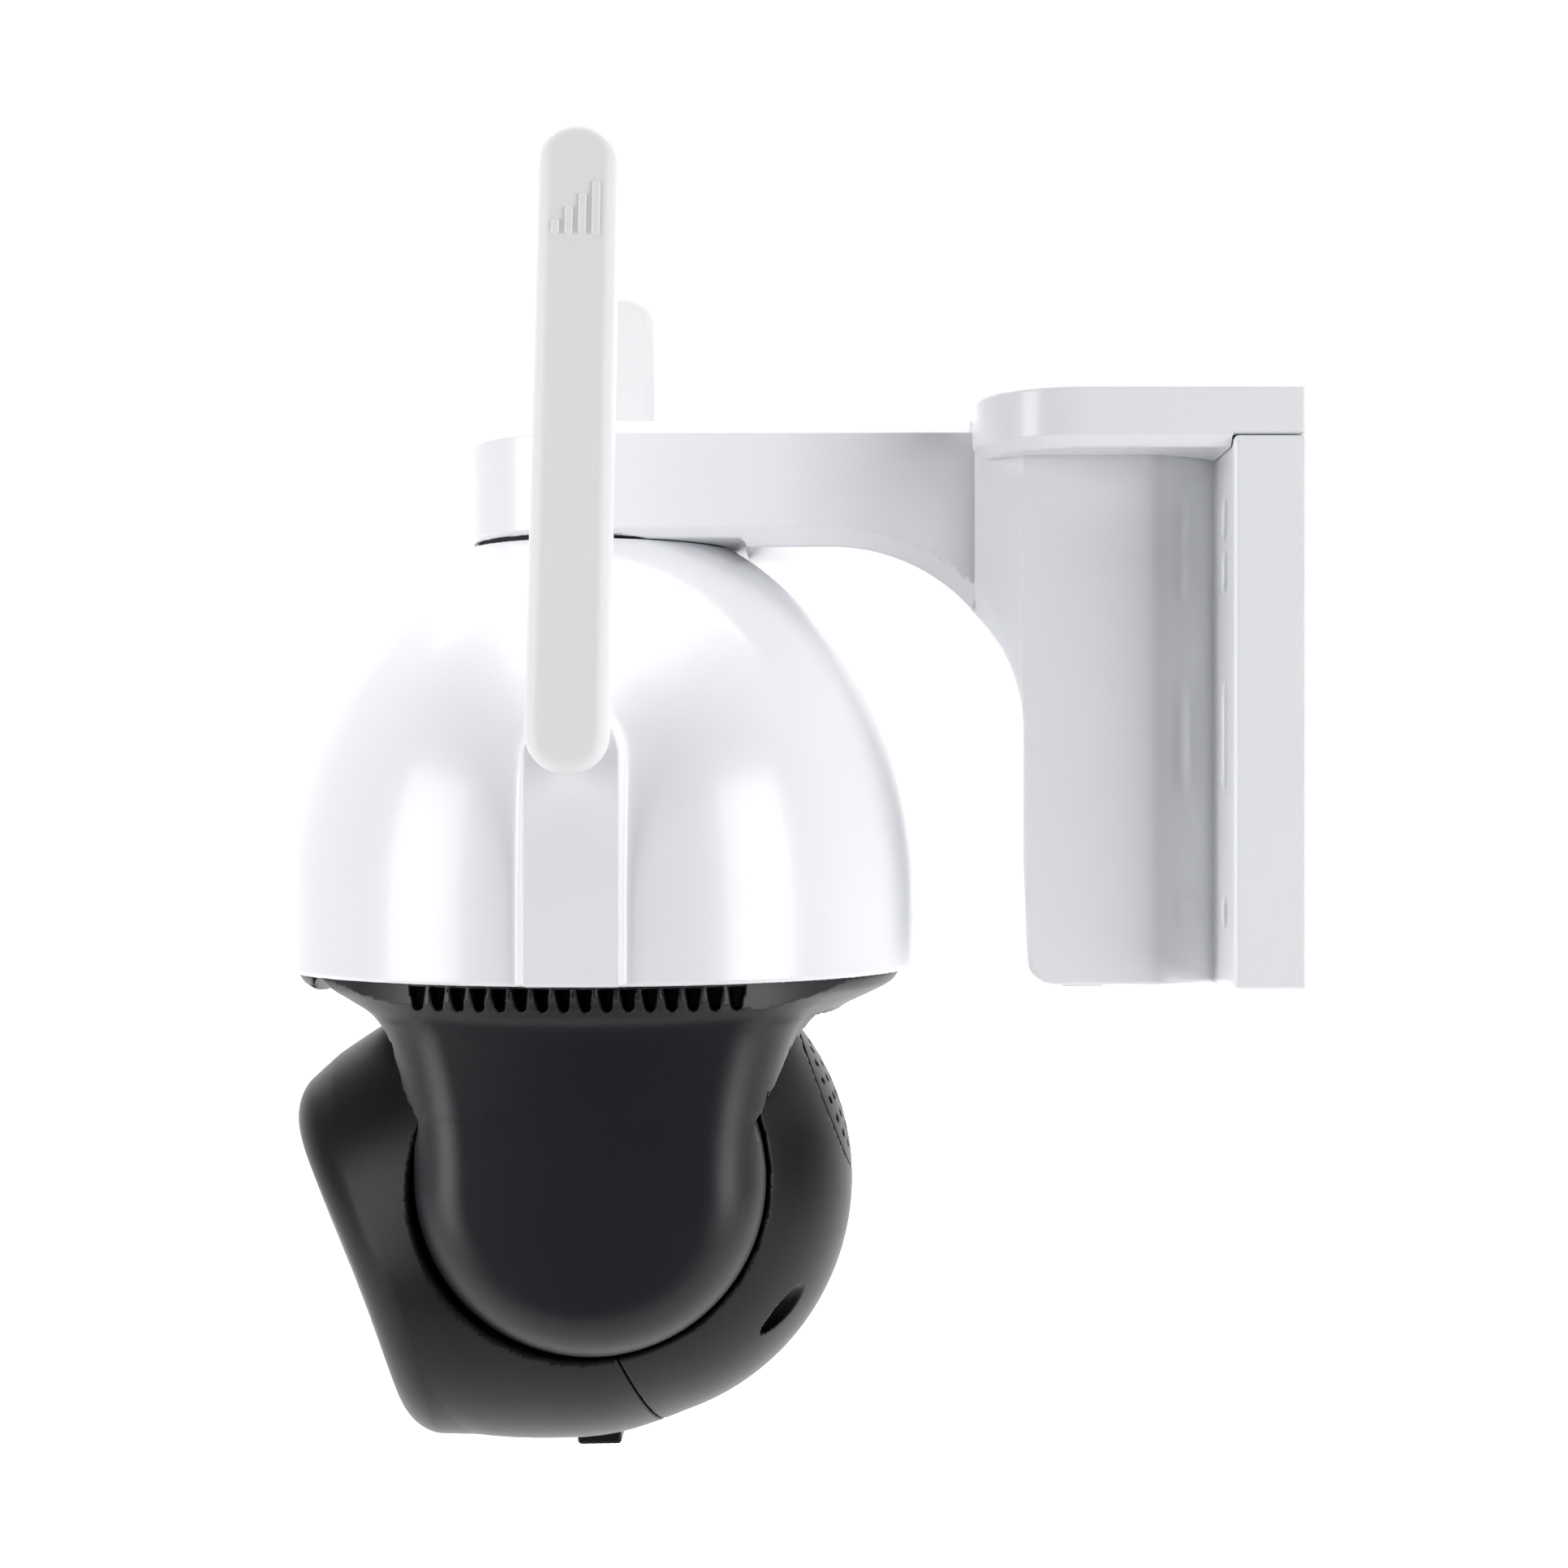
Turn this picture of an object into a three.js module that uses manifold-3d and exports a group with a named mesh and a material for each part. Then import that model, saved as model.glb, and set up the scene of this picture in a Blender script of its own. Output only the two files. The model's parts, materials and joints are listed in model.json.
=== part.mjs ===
// Pan and tilt security camera on a wall bracket. Millimetres, +Z up, wall on the +X side.
// The origin is the middle of the bracket's back face, where it meets the wall.
// Inside the camera group, X = Y = 0 is the pan axis and Z = 0 is the lower rim of the white dome.
import * as THREE from "three";
import { mergeVertices } from "three/addons/utils/BufferGeometryUtils.js";
import Module from "manifold-3d";

const wasm = await Module();
wasm.setup();

// ---- Driving dimensions ----
const GAP = 0.3; // clearance between touching pieces
const WALL = 2.4; // moulded shell thickness
const ROUND = 30; // segments round a large shell
const MEDIUM = 18; // segments round a middle-sized piece
const SMALL = 10; // segments round a pin or screw

const CABLE_BORE_R = 6;

// Dome: a straight skirt, then a quarter ellipse up to the bracket's cap.
const DOME_R = 60;
const DOME_RIM_R = 60.2;
const DOME_EQUATOR_Z = 12.3;
const DOME_RISE = 74;
const DOME_TOP_Z = 79.3;
const PILASTER_HALF = 8.35;
const PILASTER_FACE_Y = 61;
const PIVOT_Z = 42.5;

// Bracket: cap, arm, arched web, column, wall flange and hood.
const CAP_R = 25.4;
const ARM_BOTTOM_Z = 77.8;
const ARM_TOP_Z = 100.9;
const ARM_FLOOR_Z = 85; // floor of the cable way inside the arm
const CAP_Z = 79.6; // lower face of the cap, on the dome's flat top
const ARM_TOP_CHAMFER = 2.5;
const ARM_LOW_CHAMFER = 3.3;
const ARCH_X = 44;
const ARCH_Z = 43.8;
const ARCH_R = 34;
const COLUMN_X = 78;
const COLUMN_HALF = 33;
const NECK_X = 70;
const VALLEY_X = 101;
const VALLEY_HALF = 25;
const FLANGE_X = 113.8;
const WALL_X = 126.3;
const FLANGE_HALF = 45;
const BRACKET_BOTTOM_Z = -1.5;
const HOOD_BOTTOM_Z = 95.1;
const BRACKET_TOP_Z = 103.8;
const HOOD_FRONT_X = 69.5;
const HOOD_CORNER_R = 19;
const MID_Z = (BRACKET_BOTTOM_Z + BRACKET_TOP_Z) / 2;

// Turntable and yoke.
const TILT_X = 1;
const TILT_Z = -36;
const POCKET_R = 52.5;
const TURNTABLE_R = 57;
const ARM_DISC_R = 30.8;
const ARM_INNER_Y = 29.6;
const ARM_OUTER_Y = 50;
const ARM_SKIN = 2.6;
const CAVITY_TOP_Z = -9.5;
const TURNTABLE_LOW_Z = -11.1;
const RELIEF_R = 61; // room for the snout under the front of the turntable
const VENT_PITCH = 3.65;
const VENT_HALF = 0.8;
const VENT_COUNT = 8;
const VENT_Z = [-7.5, -2.9];

// Head: a ball whose front half runs out into a tapered snout. U runs forward along the optical axis.
const HEAD_PITCH = 21; // degrees that the head looks down at rest
const BALL_R = 46;
const BALL_U = 0.6;
const BALL_V = -4.7;
const SEAM_U = 6;
const FACE_U = 51;
const FACE_CURVE_R = 89; // the face curves back to both sides about an upright axis
const RECESS_R = 31.6;
const RECESS_Y = 29;
const GRILLE_R = 14.5;
const WINDOW_R = 28.2;
const WINDOW_INSET = 0.9;
const WINDOW_THICK = 2.4;
const LAMP_RING_R = 19;

// Gears: module, teeth and widths.
const PAN_MODULE = 1.25;
const PAN_TEETH = 40;
const PAN_PINION_TEETH = 12;
const TILT_MODULE = 1;
const TILT_TEETH = 20;
const TILT_PINION_TEETH = 10;

// Antennas.
const ANTENNA_LENGTH = 100.2; // pivot to tip
const ANTENNA_BASE_R = 6.95;
const ANTENNA_TIP_R = 6.5;
const ANTENNA_INNER_Y = 61.5;
const ANTENNA_OUTER_Y = 70.9;
const ANTENNA_BORE_R = 2.8;
const ANTENNA_NEAR_LEAN = 1.5; // degrees towards the wall
const ANTENNA_FAR_LEAN = -0.6;

const DEG = Math.PI / 180;
const FAR = 200; // beyond every part of the camera, for cutting tools

// Screws: clearance bore, tapped bore and boss.
const BORE_R = 1.8;
const BOSS_R = 5;
const SCREW_SIDES = 8;

// ---- Solid helpers ----

// A three.js geometry as a closed solid.
function solid(geometry) {
  const bare = geometry.index ? geometry.toNonIndexed() : geometry.clone();
  bare.deleteAttribute("normal");
  bare.deleteAttribute("uv");
  const merged = mergeVertices(bare, 1e-4);
  const kept = [];
  const index = merged.index.array;
  for (let i = 0; i < index.length; i += 3) {
    const [a, b, c] = [index[i], index[i + 1], index[i + 2]];
    if (a !== b && b !== c && c !== a) {
      kept.push(a, b, c);
    }
  }
  const vertProperties = new Float32Array(merged.attributes.position.array);
  const make = (tris) => {
    const mesh = new wasm.Mesh({ numProp: 3, vertProperties, triVerts: new Uint32Array(tris) });
    return new wasm.Manifold(mesh);
  };
  const body = make(kept);
  if (body.volume() > 0) {
    return body;
  }
  return make(kept.reverse());
}

function toGeometry(body) {
  const mesh = body.getMesh();
  const geometry = new THREE.BufferGeometry();
  geometry.setAttribute("position", new THREE.BufferAttribute(mesh.vertProperties, 3));
  geometry.setIndex(new THREE.BufferAttribute(mesh.triVerts, 1));
  geometry.computeVertexNormals();
  return geometry;
}

// A box from its lowest and highest corners.
function box(x0, x1, y0, y1, z0, z1) {
  const geometry = new THREE.BoxGeometry(x1 - x0, y1 - y0, z1 - z0);
  geometry.translate((x0 + x1) / 2, (y0 + y1) / 2, (z0 + z1) / 2);
  return solid(geometry);
}

// A straight round bar. along is "x", "y" or "z"; at gives the other two coordinates in order.
function bar(along, at, radius, from, to, sides = SMALL) {
  const geometry = new THREE.CylinderGeometry(radius, radius, to - from, sides);
  const middle = (from + to) / 2;
  if (along === "x") {
    geometry.rotateZ(Math.PI / 2);
    geometry.translate(middle, at[0], at[1]);
  } else if (along === "y") {
    geometry.translate(at[0], middle, at[1]);
  } else {
    geometry.rotateX(Math.PI / 2);
    geometry.translate(at[0], at[1], middle);
  }
  return solid(geometry);
}

// A profile of [radius, height] points turned about the vertical axis.
function turned(points, sides = ROUND) {
  const geometry = new THREE.LatheGeometry(points.map(([r, z]) => new THREE.Vector2(r, z)), sides);
  geometry.rotateX(Math.PI / 2);
  return solid(geometry);
}

// A ring of rectangular section about the vertical axis.
function band(inner, outer, z0, z1, sides = MEDIUM) {
  return turned([[inner, z0], [outer, z0], [outer, z1], [inner, z1], [inner, z0]], sides);
}

// A profile of [radius, u] points turned about the head's forward axis, which is -X in the head frame.
function turnedForward(points, sides = ROUND) {
  const geometry = new THREE.LatheGeometry(points.map(([r, u]) => new THREE.Vector2(r, u)), sides);
  geometry.rotateZ(Math.PI / 2);
  geometry.translate(-BALL_U, 0, BALL_V);
  return solid(geometry);
}

// An outline in plan, raised from z0 to z1.
function raised(shape, z0, z1) {
  const geometry = new THREE.ExtrudeGeometry(shape, { depth: z1 - z0, bevelEnabled: false });
  geometry.translate(0, 0, z0);
  return solid(geometry);
}

// An outline in the XZ plane, drawn from y0 to y1. bevel = [inset, depth, steps] rounds the face at y1.
function drawn(shape, y0, y1, bevel = null) {
  const options = { depth: Math.abs(y1 - y0), bevelEnabled: false };
  if (bevel) {
    options.depth = 2 * (Math.abs(y1 - y0) - bevel[1]);
    options.bevelEnabled = true;
    options.bevelSize = bevel[0];
    options.bevelOffset = -bevel[0];
    options.bevelThickness = bevel[1];
    options.bevelSegments = bevel[2];
  }
  const geometry = new THREE.ExtrudeGeometry(shape, options);
  geometry.rotateX(Math.PI / 2);
  if (!bevel) {
    geometry.translate(0, Math.max(y0, y1), 0);
    return solid(geometry);
  }
  // The bevel is made on both faces and the inner half is cut away.
  geometry.translate(0, options.depth / 2 + y0, 0);
  const keep = y1 > y0 ? box(-FAR, FAR, y0, FAR, -FAR, FAR) : box(-FAR, FAR, -FAR, y0, -FAR, FAR);
  return solid(geometry).intersect(keep);
}

function polygon(points) {
  return new THREE.Shape(points.map(([a, b]) => new THREE.Vector2(a, b)));
}

// An outline that is the same on both sides of the X axis, from the points of its near side.
function mirroredOutline(side) {
  return polygon([...side, ...side.map(([x, y]) => [x, -y]).reverse()]);
}

function arcPoints(cx, cy, radius, from, to, steps) {
  return Array.from({ length: steps + 1 }, (_, i) => {
    const angle = (from + ((to - from) * i) / steps) * DEG;
    return [cx + radius * Math.cos(angle), cy + radius * Math.sin(angle)];
  });
}

function joined(...bodies) {
  return bodies.reduce((sum, body) => sum.add(body));
}

// Trapezium teeth with reduced tips and ample backlash, so that a pair runs without interference.
function gearShape(teeth, module, phase) {
  const pitch = (teeth * module) / 2;
  const addendum = 0.7 * module;
  const dedendum = module;
  const halfPitchTooth = (Math.PI * module) / 4 - 0.14 * module;
  const slope = Math.tan(20 * DEG);
  const tip = [pitch + addendum, halfPitchTooth - slope * addendum];
  const root = [pitch - dedendum, halfPitchTooth + slope * dedendum];
  const points = [];
  for (let i = 0; i < teeth; i += 1) {
    const middle = phase + (i * 2 * Math.PI) / teeth;
    for (const [radius, half, side] of [[...root, -1], [...tip, -1], [...tip, 1], [...root, 1]]) {
      const angle = middle + (side * half) / radius;
      points.push([radius * Math.cos(angle), radius * Math.sin(angle)]);
    }
  }
  return polygon(points);
}

// ---- Finishes ----
const finish = (color, roughness, metalness = 0) => () =>
  new THREE.MeshStandardMaterial({ color, roughness, metalness });
const WHITE = finish(0xf2f3f5, 0.4);
const WHITE_SATIN = finish(0xeeeeef, 0.55);
const BLACK = finish(0x1d1f23, 0.45);
const BLACK_INNER = finish(0x26282b, 0.6);
const NYLON = finish(0xe6e2d3, 0.5);
const STEEL = finish(0xa8abae, 0.35, 0.9);
const RUBBER = finish(0x2a2a2a, 0.9);
const BOARD = finish(0x1f5f3a, 0.6);
const GLASS = finish(0x15181f, 0.05);
const LAMP = finish(0xf4e9b0, 0.3);

function named(name, body, material, parent) {
  const mesh = new THREE.Mesh(toGeometry(body), material());
  mesh.name = name;
  parent.add(mesh);
}

// ---- Bracket ----

// The dome as [radius, z], at an inset from its outer surface.
function domeOutline(inset, bottomZ) {
  const radius = DOME_R - inset;
  const rise = DOME_RISE - inset;
  const topZ = DOME_TOP_Z - inset;
  const points = [[0, bottomZ], [DOME_RIM_R - inset, bottomZ], [radius, DOME_EQUATOR_Z]];
  const topAngle = Math.asin((topZ - DOME_EQUATOR_Z) / rise);
  const steps = 7;
  for (let i = 1; i <= steps; i += 1) {
    const angle = (topAngle * i) / steps;
    points.push([radius * Math.cos(angle), DOME_EQUATOR_Z + rise * Math.sin(angle)]);
  }
  points.push([0, topZ]);
  return points;
}

function columnPlan() {
  const side = [[NECK_X, -CAP_R], [COLUMN_X, -COLUMN_HALF], [VALLEY_X, -COLUMN_HALF]];
  side.push([107.5, -30.8], [FLANGE_X + 1, -VALLEY_HALF]);
  return mirroredOutline(side);
}

// The space under the arch, back to the pan axis, as an outline in the XZ plane.
function archOutline() {
  const corner = 5;
  const floor = BRACKET_BOTTOM_Z - 1;
  const points = [[0, floor], [COLUMN_X + 1.6 + corner, floor], [COLUMN_X + 1.6 + corner, BRACKET_BOTTOM_Z]];
  points.push(...arcPoints(COLUMN_X + 1.6 + corner, BRACKET_BOTTOM_Z + corner, corner, 270, 180, 3));
  points.push(...arcPoints(ARCH_X, ARCH_Z, ARCH_R, 0, 90, 7));
  points.push([0, ARM_BOTTOM_Z]);
  return polygon(points);
}

function armSection() {
  const half = CAP_R;
  const low = ARM_BOTTOM_Z;
  const right = [[half - ARM_LOW_CHAMFER, low], [half, low + ARM_LOW_CHAMFER]];
  right.push([half, ARM_TOP_Z - ARM_TOP_CHAMFER], [half - ARM_TOP_CHAMFER, ARM_TOP_Z]);
  return polygon([...right, ...right.map(([y, z]) => [-y, z]).reverse()]);
}

// The section is drawn in the YZ plane and swept straight along X.
function armBeam(x0, x1) {
  const geometry = new THREE.ExtrudeGeometry(armSection(), { depth: x1 - x0, bevelEnabled: false });
  geometry.rotateX(Math.PI / 2);
  geometry.rotateZ(Math.PI / 2);
  geometry.translate(x0, 0, 0);
  return solid(geometry);
}

// Vertical slots through each side of the flange: [lowest z, highest z].
const FLANGE_SLOTS = [[68.5, 76], [78, 85.1], [33.4, 52.5], [9, 14.2]];
const SLOT_Y = 34.5;
const SLOT_WIDTH = 5;

// Hollows in the column's back, and the gasket ring under the cap.
const POCKET_HALF = 22;
const RIB_HALF = 5;
const GASKET_R = 20;
const GASKET_WIDTH = 3.5;
const GASKET_TOP_Z = 80.9;

function bracketBody() {
  const capProfile = [[0, CAP_Z], [CAP_R, CAP_Z], [CAP_R, ARM_TOP_Z - ARM_TOP_CHAMFER]];
  capProfile.push([CAP_R - ARM_TOP_CHAMFER, ARM_TOP_Z], [0, ARM_TOP_Z]);
  const cap = turned(capProfile);
  const column = raised(columnPlan(), BRACKET_BOTTOM_Z, HOOD_BOTTOM_Z);
  const web = box(COLUMN_X - 40, COLUMN_X + 2, -CAP_R, CAP_R, 30, ARM_TOP_Z - 5);
  const flange = box(FLANGE_X, WALL_X, -FLANGE_HALF, FLANGE_HALF, BRACKET_BOTTOM_Z, HOOD_BOTTOM_Z);
  let body = joined(cap, armBeam(0, NECK_X + 4), web, column, flange);
  body = body.subtract(drawn(archOutline(), -FAR, FAR));
  body = body.subtract(turned(domeOutline(-GAP, -5)));
  // Cable way through the cap and arm, opening into the column's upper pocket. A rib parts the pockets.
  const out = WALL_X + 1;
  body = body.subtract(box(-14, COLUMN_X + 4, -18, 18, ARM_FLOOR_Z, ARM_TOP_Z - 3.9));
  const half = POCKET_HALF;
  body = body.subtract(box(COLUMN_X + 1.5, out, -half, half, MID_Z + RIB_HALF, HOOD_BOTTOM_Z - 3.1));
  body = body.subtract(box(COLUMN_X + 6, out, -half, half, BRACKET_BOTTOM_Z + 4, MID_Z - RIB_HALF));
  body = body.subtract(bar("z", [0, 0], CABLE_BORE_R, DOME_TOP_Z - 4, ARM_FLOOR_Z + 1));
  // Ring groove for the dome gasket, and blind holes for the three cap screws.
  body = body.subtract(band(GASKET_R - GAP, GASKET_R + GASKET_WIDTH + GAP, CAP_Z - 1, GASKET_TOP_Z + GAP));
  for (const [x, y] of CAP_SCREWS) {
    body = body.subtract(bar("z", [x, y], BORE_R, CAP_Z - 4, CAP_Z + 4, SCREW_SIDES));
  }
  // Screw slots through both sides of the flange, and the cable notch in the column's floor.
  for (const side of [-1, 1]) {
    for (const [z0, z1] of FLANGE_SLOTS) {
      const y = side * SLOT_Y;
      body = body.subtract(box(FLANGE_X - 5, out, y - SLOT_WIDTH / 2, y + SLOT_WIDTH / 2, z0, z1));
    }
  }
  // The top of the column and arm stop under the hood's cover.
  body = body.subtract(box(NECK_X + 4, out, -FAR, FAR, HOOD_BOTTOM_Z - 0.01, FAR));
  return body.subtract(grommetBlock(GAP, BRACKET_BOTTOM_Z - 1, BRACKET_BOTTOM_Z + 5));
}

// The rubber block that closes the cable notch in the column's floor.
function grommetBlock(clearance, z0, z1) {
  const x0 = COLUMN_X + 10 - clearance;
  const x1 = COLUMN_X + 17.7 + clearance;
  return box(x0, x1, -5 - clearance, 5 + clearance, z0, z1);
}

// Cover plate over the column: round front corners and a bevelled lower edge round the front.
function bracketHood() {
  const r = HOOD_CORNER_R;
  const half = FLANGE_HALF;
  const plan = (inset) => polygon([
    [WALL_X, -half + inset],
    ...arcPoints(HOOD_FRONT_X + r, -half + r, r - inset, 270, 180, 5),
    ...arcPoints(HOOD_FRONT_X + r, half - r, r - inset, 180, 90, 5),
    [WALL_X, half - inset],
  ]);
  const plate = raised(plan(0), HOOD_BOTTOM_Z + GAP, BRACKET_TOP_Z);
  const lip = raised(plan(1.2), HOOD_BOTTOM_Z - 1.9, HOOD_BOTTOM_Z + 1);
  // The lip hangs down outside the column and arm, in front of the flange.
  const flangeRoom = box(FLANGE_X - GAP, WALL_X + 1, -FAR, FAR, 80, HOOD_BOTTOM_Z + 2);
  const columnSide = [
    [60, -CAP_R - GAP], [NECK_X, -CAP_R - GAP], [COLUMN_X - 0.2, -COLUMN_HALF - GAP],
    [VALLEY_X + 0.2, -COLUMN_HALF - GAP], [107.7, -31.2], [FLANGE_X + 1, -VALLEY_HALF - 0.5],
  ];
  const columnRoom = raised(mirroredOutline(columnSide), 80, HOOD_BOTTOM_Z + GAP);
  const rim = lip.subtract(flangeRoom).subtract(columnRoom);
  const armRoom = box(60, NECK_X + 4.3, -CAP_R - GAP, CAP_R + GAP, 80, ARM_TOP_Z + GAP);
  return joined(plate, rim).subtract(armRoom);
}

// ---- Dome ----

// Three places evenly round the pan axis.
function threePlaces(radius, firstDegrees) {
  return [0, 120, 240].map((degrees) => {
    const angle = (firstDegrees + degrees) * DEG;
    return [radius * Math.cos(angle), radius * Math.sin(angle)];
  });
}

const CAP_SCREWS = threePlaces(14, 90);
const BASE_SCREWS = threePlaces(52.5, 60);

function pilaster(side) {
  const outline = polygon([
    [-PILASTER_HALF, 0], [PILASTER_HALF, 0], ...arcPoints(0, PIVOT_Z, PILASTER_HALF, 0, 180, 8),
  ]);
  return side < 0 ? drawn(outline, -PILASTER_FACE_Y, -40) : drawn(outline, 40, PILASTER_FACE_Y);
}

function domeShell() {
  const outer = turned(domeOutline(0, 0));
  const inside = turned(domeOutline(WALL, -5));
  let body = joined(outer, pilaster(-1), pilaster(1)).subtract(inside);
  for (const [x, y] of BASE_SCREWS) {
    const boss = bar("z", [x, y], BOSS_R, BASE_PLATE_TOP + 0.4, BASE_PLATE_TOP + 12, SCREW_SIDES);
    body = body.add(boss.intersect(outer));
    body = body.subtract(bar("z", [x, y], BORE_R, BASE_PLATE_TOP - 1, BASE_PLATE_TOP + 9.2, SCREW_SIDES));
  }
  for (const [x, y] of CAP_SCREWS) {
    body = body.subtract(bar("z", [x, y], BORE_R, DOME_TOP_Z - 9, DOME_TOP_Z + 5, SCREW_SIDES));
  }
  body = body.subtract(bar("z", [0, 0], CABLE_BORE_R, DOME_TOP_Z - 9, DOME_TOP_Z + 5));
  return body.subtract(bar("y", [0, PIVOT_Z], ANTENNA_BORE_R, -FAR, FAR));
}

// A cap-head screw along an axis: head radius and length, then the shank.
function screw(along, at, headFrom, headTo, shankTo, headR = 2.6, shankR = 1.5) {
  const head = bar(along, at, headR, Math.min(headFrom, headTo), Math.max(headFrom, headTo));
  const middle = (headFrom + headTo) / 2;
  const [low, high] = [Math.min(middle, shankTo), Math.max(middle, shankTo)];
  return head.add(bar(along, at, shankR, low, high, SCREW_SIDES));
}

// ---- Inside the dome ----

const BASE_PLATE_R = 56.4;
const BASE_PLATE_Z = 19.3;
const BASE_PLATE_TOP = 21.8;
const PAN_GEAR_Z = 23;
const PAN_GEAR_TOP = 27.5;
const HUB_R = 10;
const HUB_TOP_Z = 29;
const BEARING_R = 15.5;
const PAN_DISTANCE = (PAN_MODULE * (PAN_TEETH + PAN_PINION_TEETH)) / 2;
const MOTOR_Z = 31;
const MOTOR_R = 14;
const MOTOR_HEIGHT = 15;
const MOTOR_EAR_Y = 17.5;
const MOTOR_BORE_R = 2.4;
const POST_R = 3;
const BOARD_Z = 55;
const BOARD_THICK = 1.6;
const BOARD_POSTS = [[-24, -26], [24, -26], [24, 26], [-24, 26]];

function basePlate() {
  let body = band(BEARING_R + GAP, BASE_PLATE_R, BASE_PLATE_Z, BASE_PLATE_TOP, ROUND);
  for (const [x, y] of BOARD_POSTS) {
    body = body.add(bar("z", [x, y], POST_R, BASE_PLATE_TOP - 1, BOARD_Z - GAP, SCREW_SIDES));
  }
  for (const y of [-MOTOR_EAR_Y, MOTOR_EAR_Y]) {
    body = body.add(bar("z", [-PAN_DISTANCE, y], POST_R, BASE_PLATE_TOP - 1, MOTOR_Z - GAP, SCREW_SIDES));
  }
  for (const [x, y] of BASE_SCREWS) {
    body = body.subtract(bar("z", [x, y], BORE_R, BASE_PLATE_Z - 1, BASE_PLATE_TOP + 1, SCREW_SIDES));
  }
  return body;
}

function panMotor() {
  const at = [-PAN_DISTANCE, 0];
  const earY = MOTOR_EAR_Y + 3.5;
  const can = bar("z", at, MOTOR_R, MOTOR_Z, MOTOR_Z + MOTOR_HEIGHT, MEDIUM);
  const ears = box(at[0] - 3.5, at[0] + 3.5, -earY, earY, MOTOR_Z, MOTOR_Z + 1.2);
  return joined(can, ears).subtract(bar("z", at, MOTOR_BORE_R, MOTOR_Z - 1, MOTOR_Z + 6));
}

function panPinion() {
  const phase = Math.PI / PAN_PINION_TEETH;
  const wheel = raised(gearShape(PAN_PINION_TEETH, PAN_MODULE, phase), PAN_GEAR_Z, PAN_GEAR_TOP);
  return wheel.add(bar("z", [0, 0], 2, PAN_GEAR_Z, MOTOR_Z + 5, 10)).translate([-PAN_DISTANCE, 0, 0]);
}

function panGear() {
  const wheel = raised(gearShape(PAN_TEETH, PAN_MODULE, Math.PI), PAN_GEAR_Z, PAN_GEAR_TOP);
  return wheel.subtract(bar("z", [0, 0], HUB_R + GAP, PAN_GEAR_Z - 1, PAN_GEAR_TOP + 1, MEDIUM));
}

// ---- Turntable and yoke ----

function turntableProfile() {
  const outer = POCKET_R + 2;
  const points = [[0, TILT_Z + outer]];
  const lipAngle = Math.asin((1 - TILT_Z) / outer) / DEG;
  points.push(...arcPoints(0, TILT_Z, outer, 90, lipAngle, 6).slice(1));
  points.push([TURNTABLE_R, 1], [TURNTABLE_R, -0.8], [55.1, -2.2], [50.2, -4.4], [46.4, -6.9], [44.2, -9.2]);
  points.push([43, TURNTABLE_LOW_Z], [0, TURNTABLE_LOW_Z]);
  return points;
}

function sphere(radius, x, y, z, sides = 24) {
  const geometry = new THREE.SphereGeometry(radius, sides, sides / 2);
  geometry.rotateX(Math.PI / 2);
  geometry.translate(x, y, z);
  return solid(geometry);
}

// A yoke arm's outline: a half disc about the tilt axis with a straight neck up to the turntable.
function armOutline(inset, topZ) {
  const r = ARM_DISC_R - inset;
  return polygon([
    [TILT_X + r + 1.5, topZ], [TILT_X - r - 1.5, topZ], [TILT_X - r, TILT_Z + 12],
    ...arcPoints(TILT_X, TILT_Z, r, 180, 360, 10), [TILT_X + r, TILT_Z + 12],
  ]);
}

function yokeArm(side) {
  const outer = drawn(armOutline(0, -2), side * ARM_INNER_Y, side * ARM_OUTER_Y, [7, 7, 3]);
  const sideDisc = toSide(bar("y", [TILT_X, TILT_Z], ARM_DISC_R, ARM_INNER_Y - 5, ARM_OUTER_Y + 5, 24), side);
  const head = sphere(POCKET_R, TILT_X, 0, TILT_Z);
  const neck = outer.subtract(head);
  const pad = outer.intersect(sideDisc);
  const [openY, endY] = [side * (ARM_INNER_Y - 1), side * (ARM_OUTER_Y - ARM_SKIN)];
  const cavity = drawn(armOutline(ARM_SKIN, CAVITY_TOP_Z), openY, endY, [4, 4, 1]);
  return joined(neck, pad).subtract(cavity);
}

function turntableYoke() {
  let body = turned(turntableProfile()).subtract(sphere(POCKET_R, TILT_X, 0, TILT_Z));
  // Relief under the front of the turntable, where the snout rises when the head looks level.
  const relief = polygon([[TILT_X, TILT_Z], ...arcPoints(TILT_X, TILT_Z, RELIEF_R, 144.5, 178, 4)]);
  body = body.subtract(drawn(relief, -36.5, 36.5));
  body = joined(body, yokeArm(-1), yokeArm(1));
  // Row of vents high on each arm, under the dome's rim.
  for (let i = 0; i < VENT_COUNT; i += 1) {
    const x = (2 * i + 1 - VENT_COUNT) * VENT_PITCH;
    const vent = box(x - VENT_HALF, x + VENT_HALF, ARM_OUTER_Y - 4, ARM_OUTER_Y + 6, ...VENT_Z);
    body = body.subtract(vent).subtract(toSide(vent, -1));
  }
  const hub = band(CABLE_BORE_R, HUB_R, POCKET_R + TILT_Z - 1, HUB_TOP_Z);
  return body.add(hub).subtract(bar("z", [0, 0], CABLE_BORE_R, 10, HUB_TOP_Z + 1, MEDIUM));
}

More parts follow.
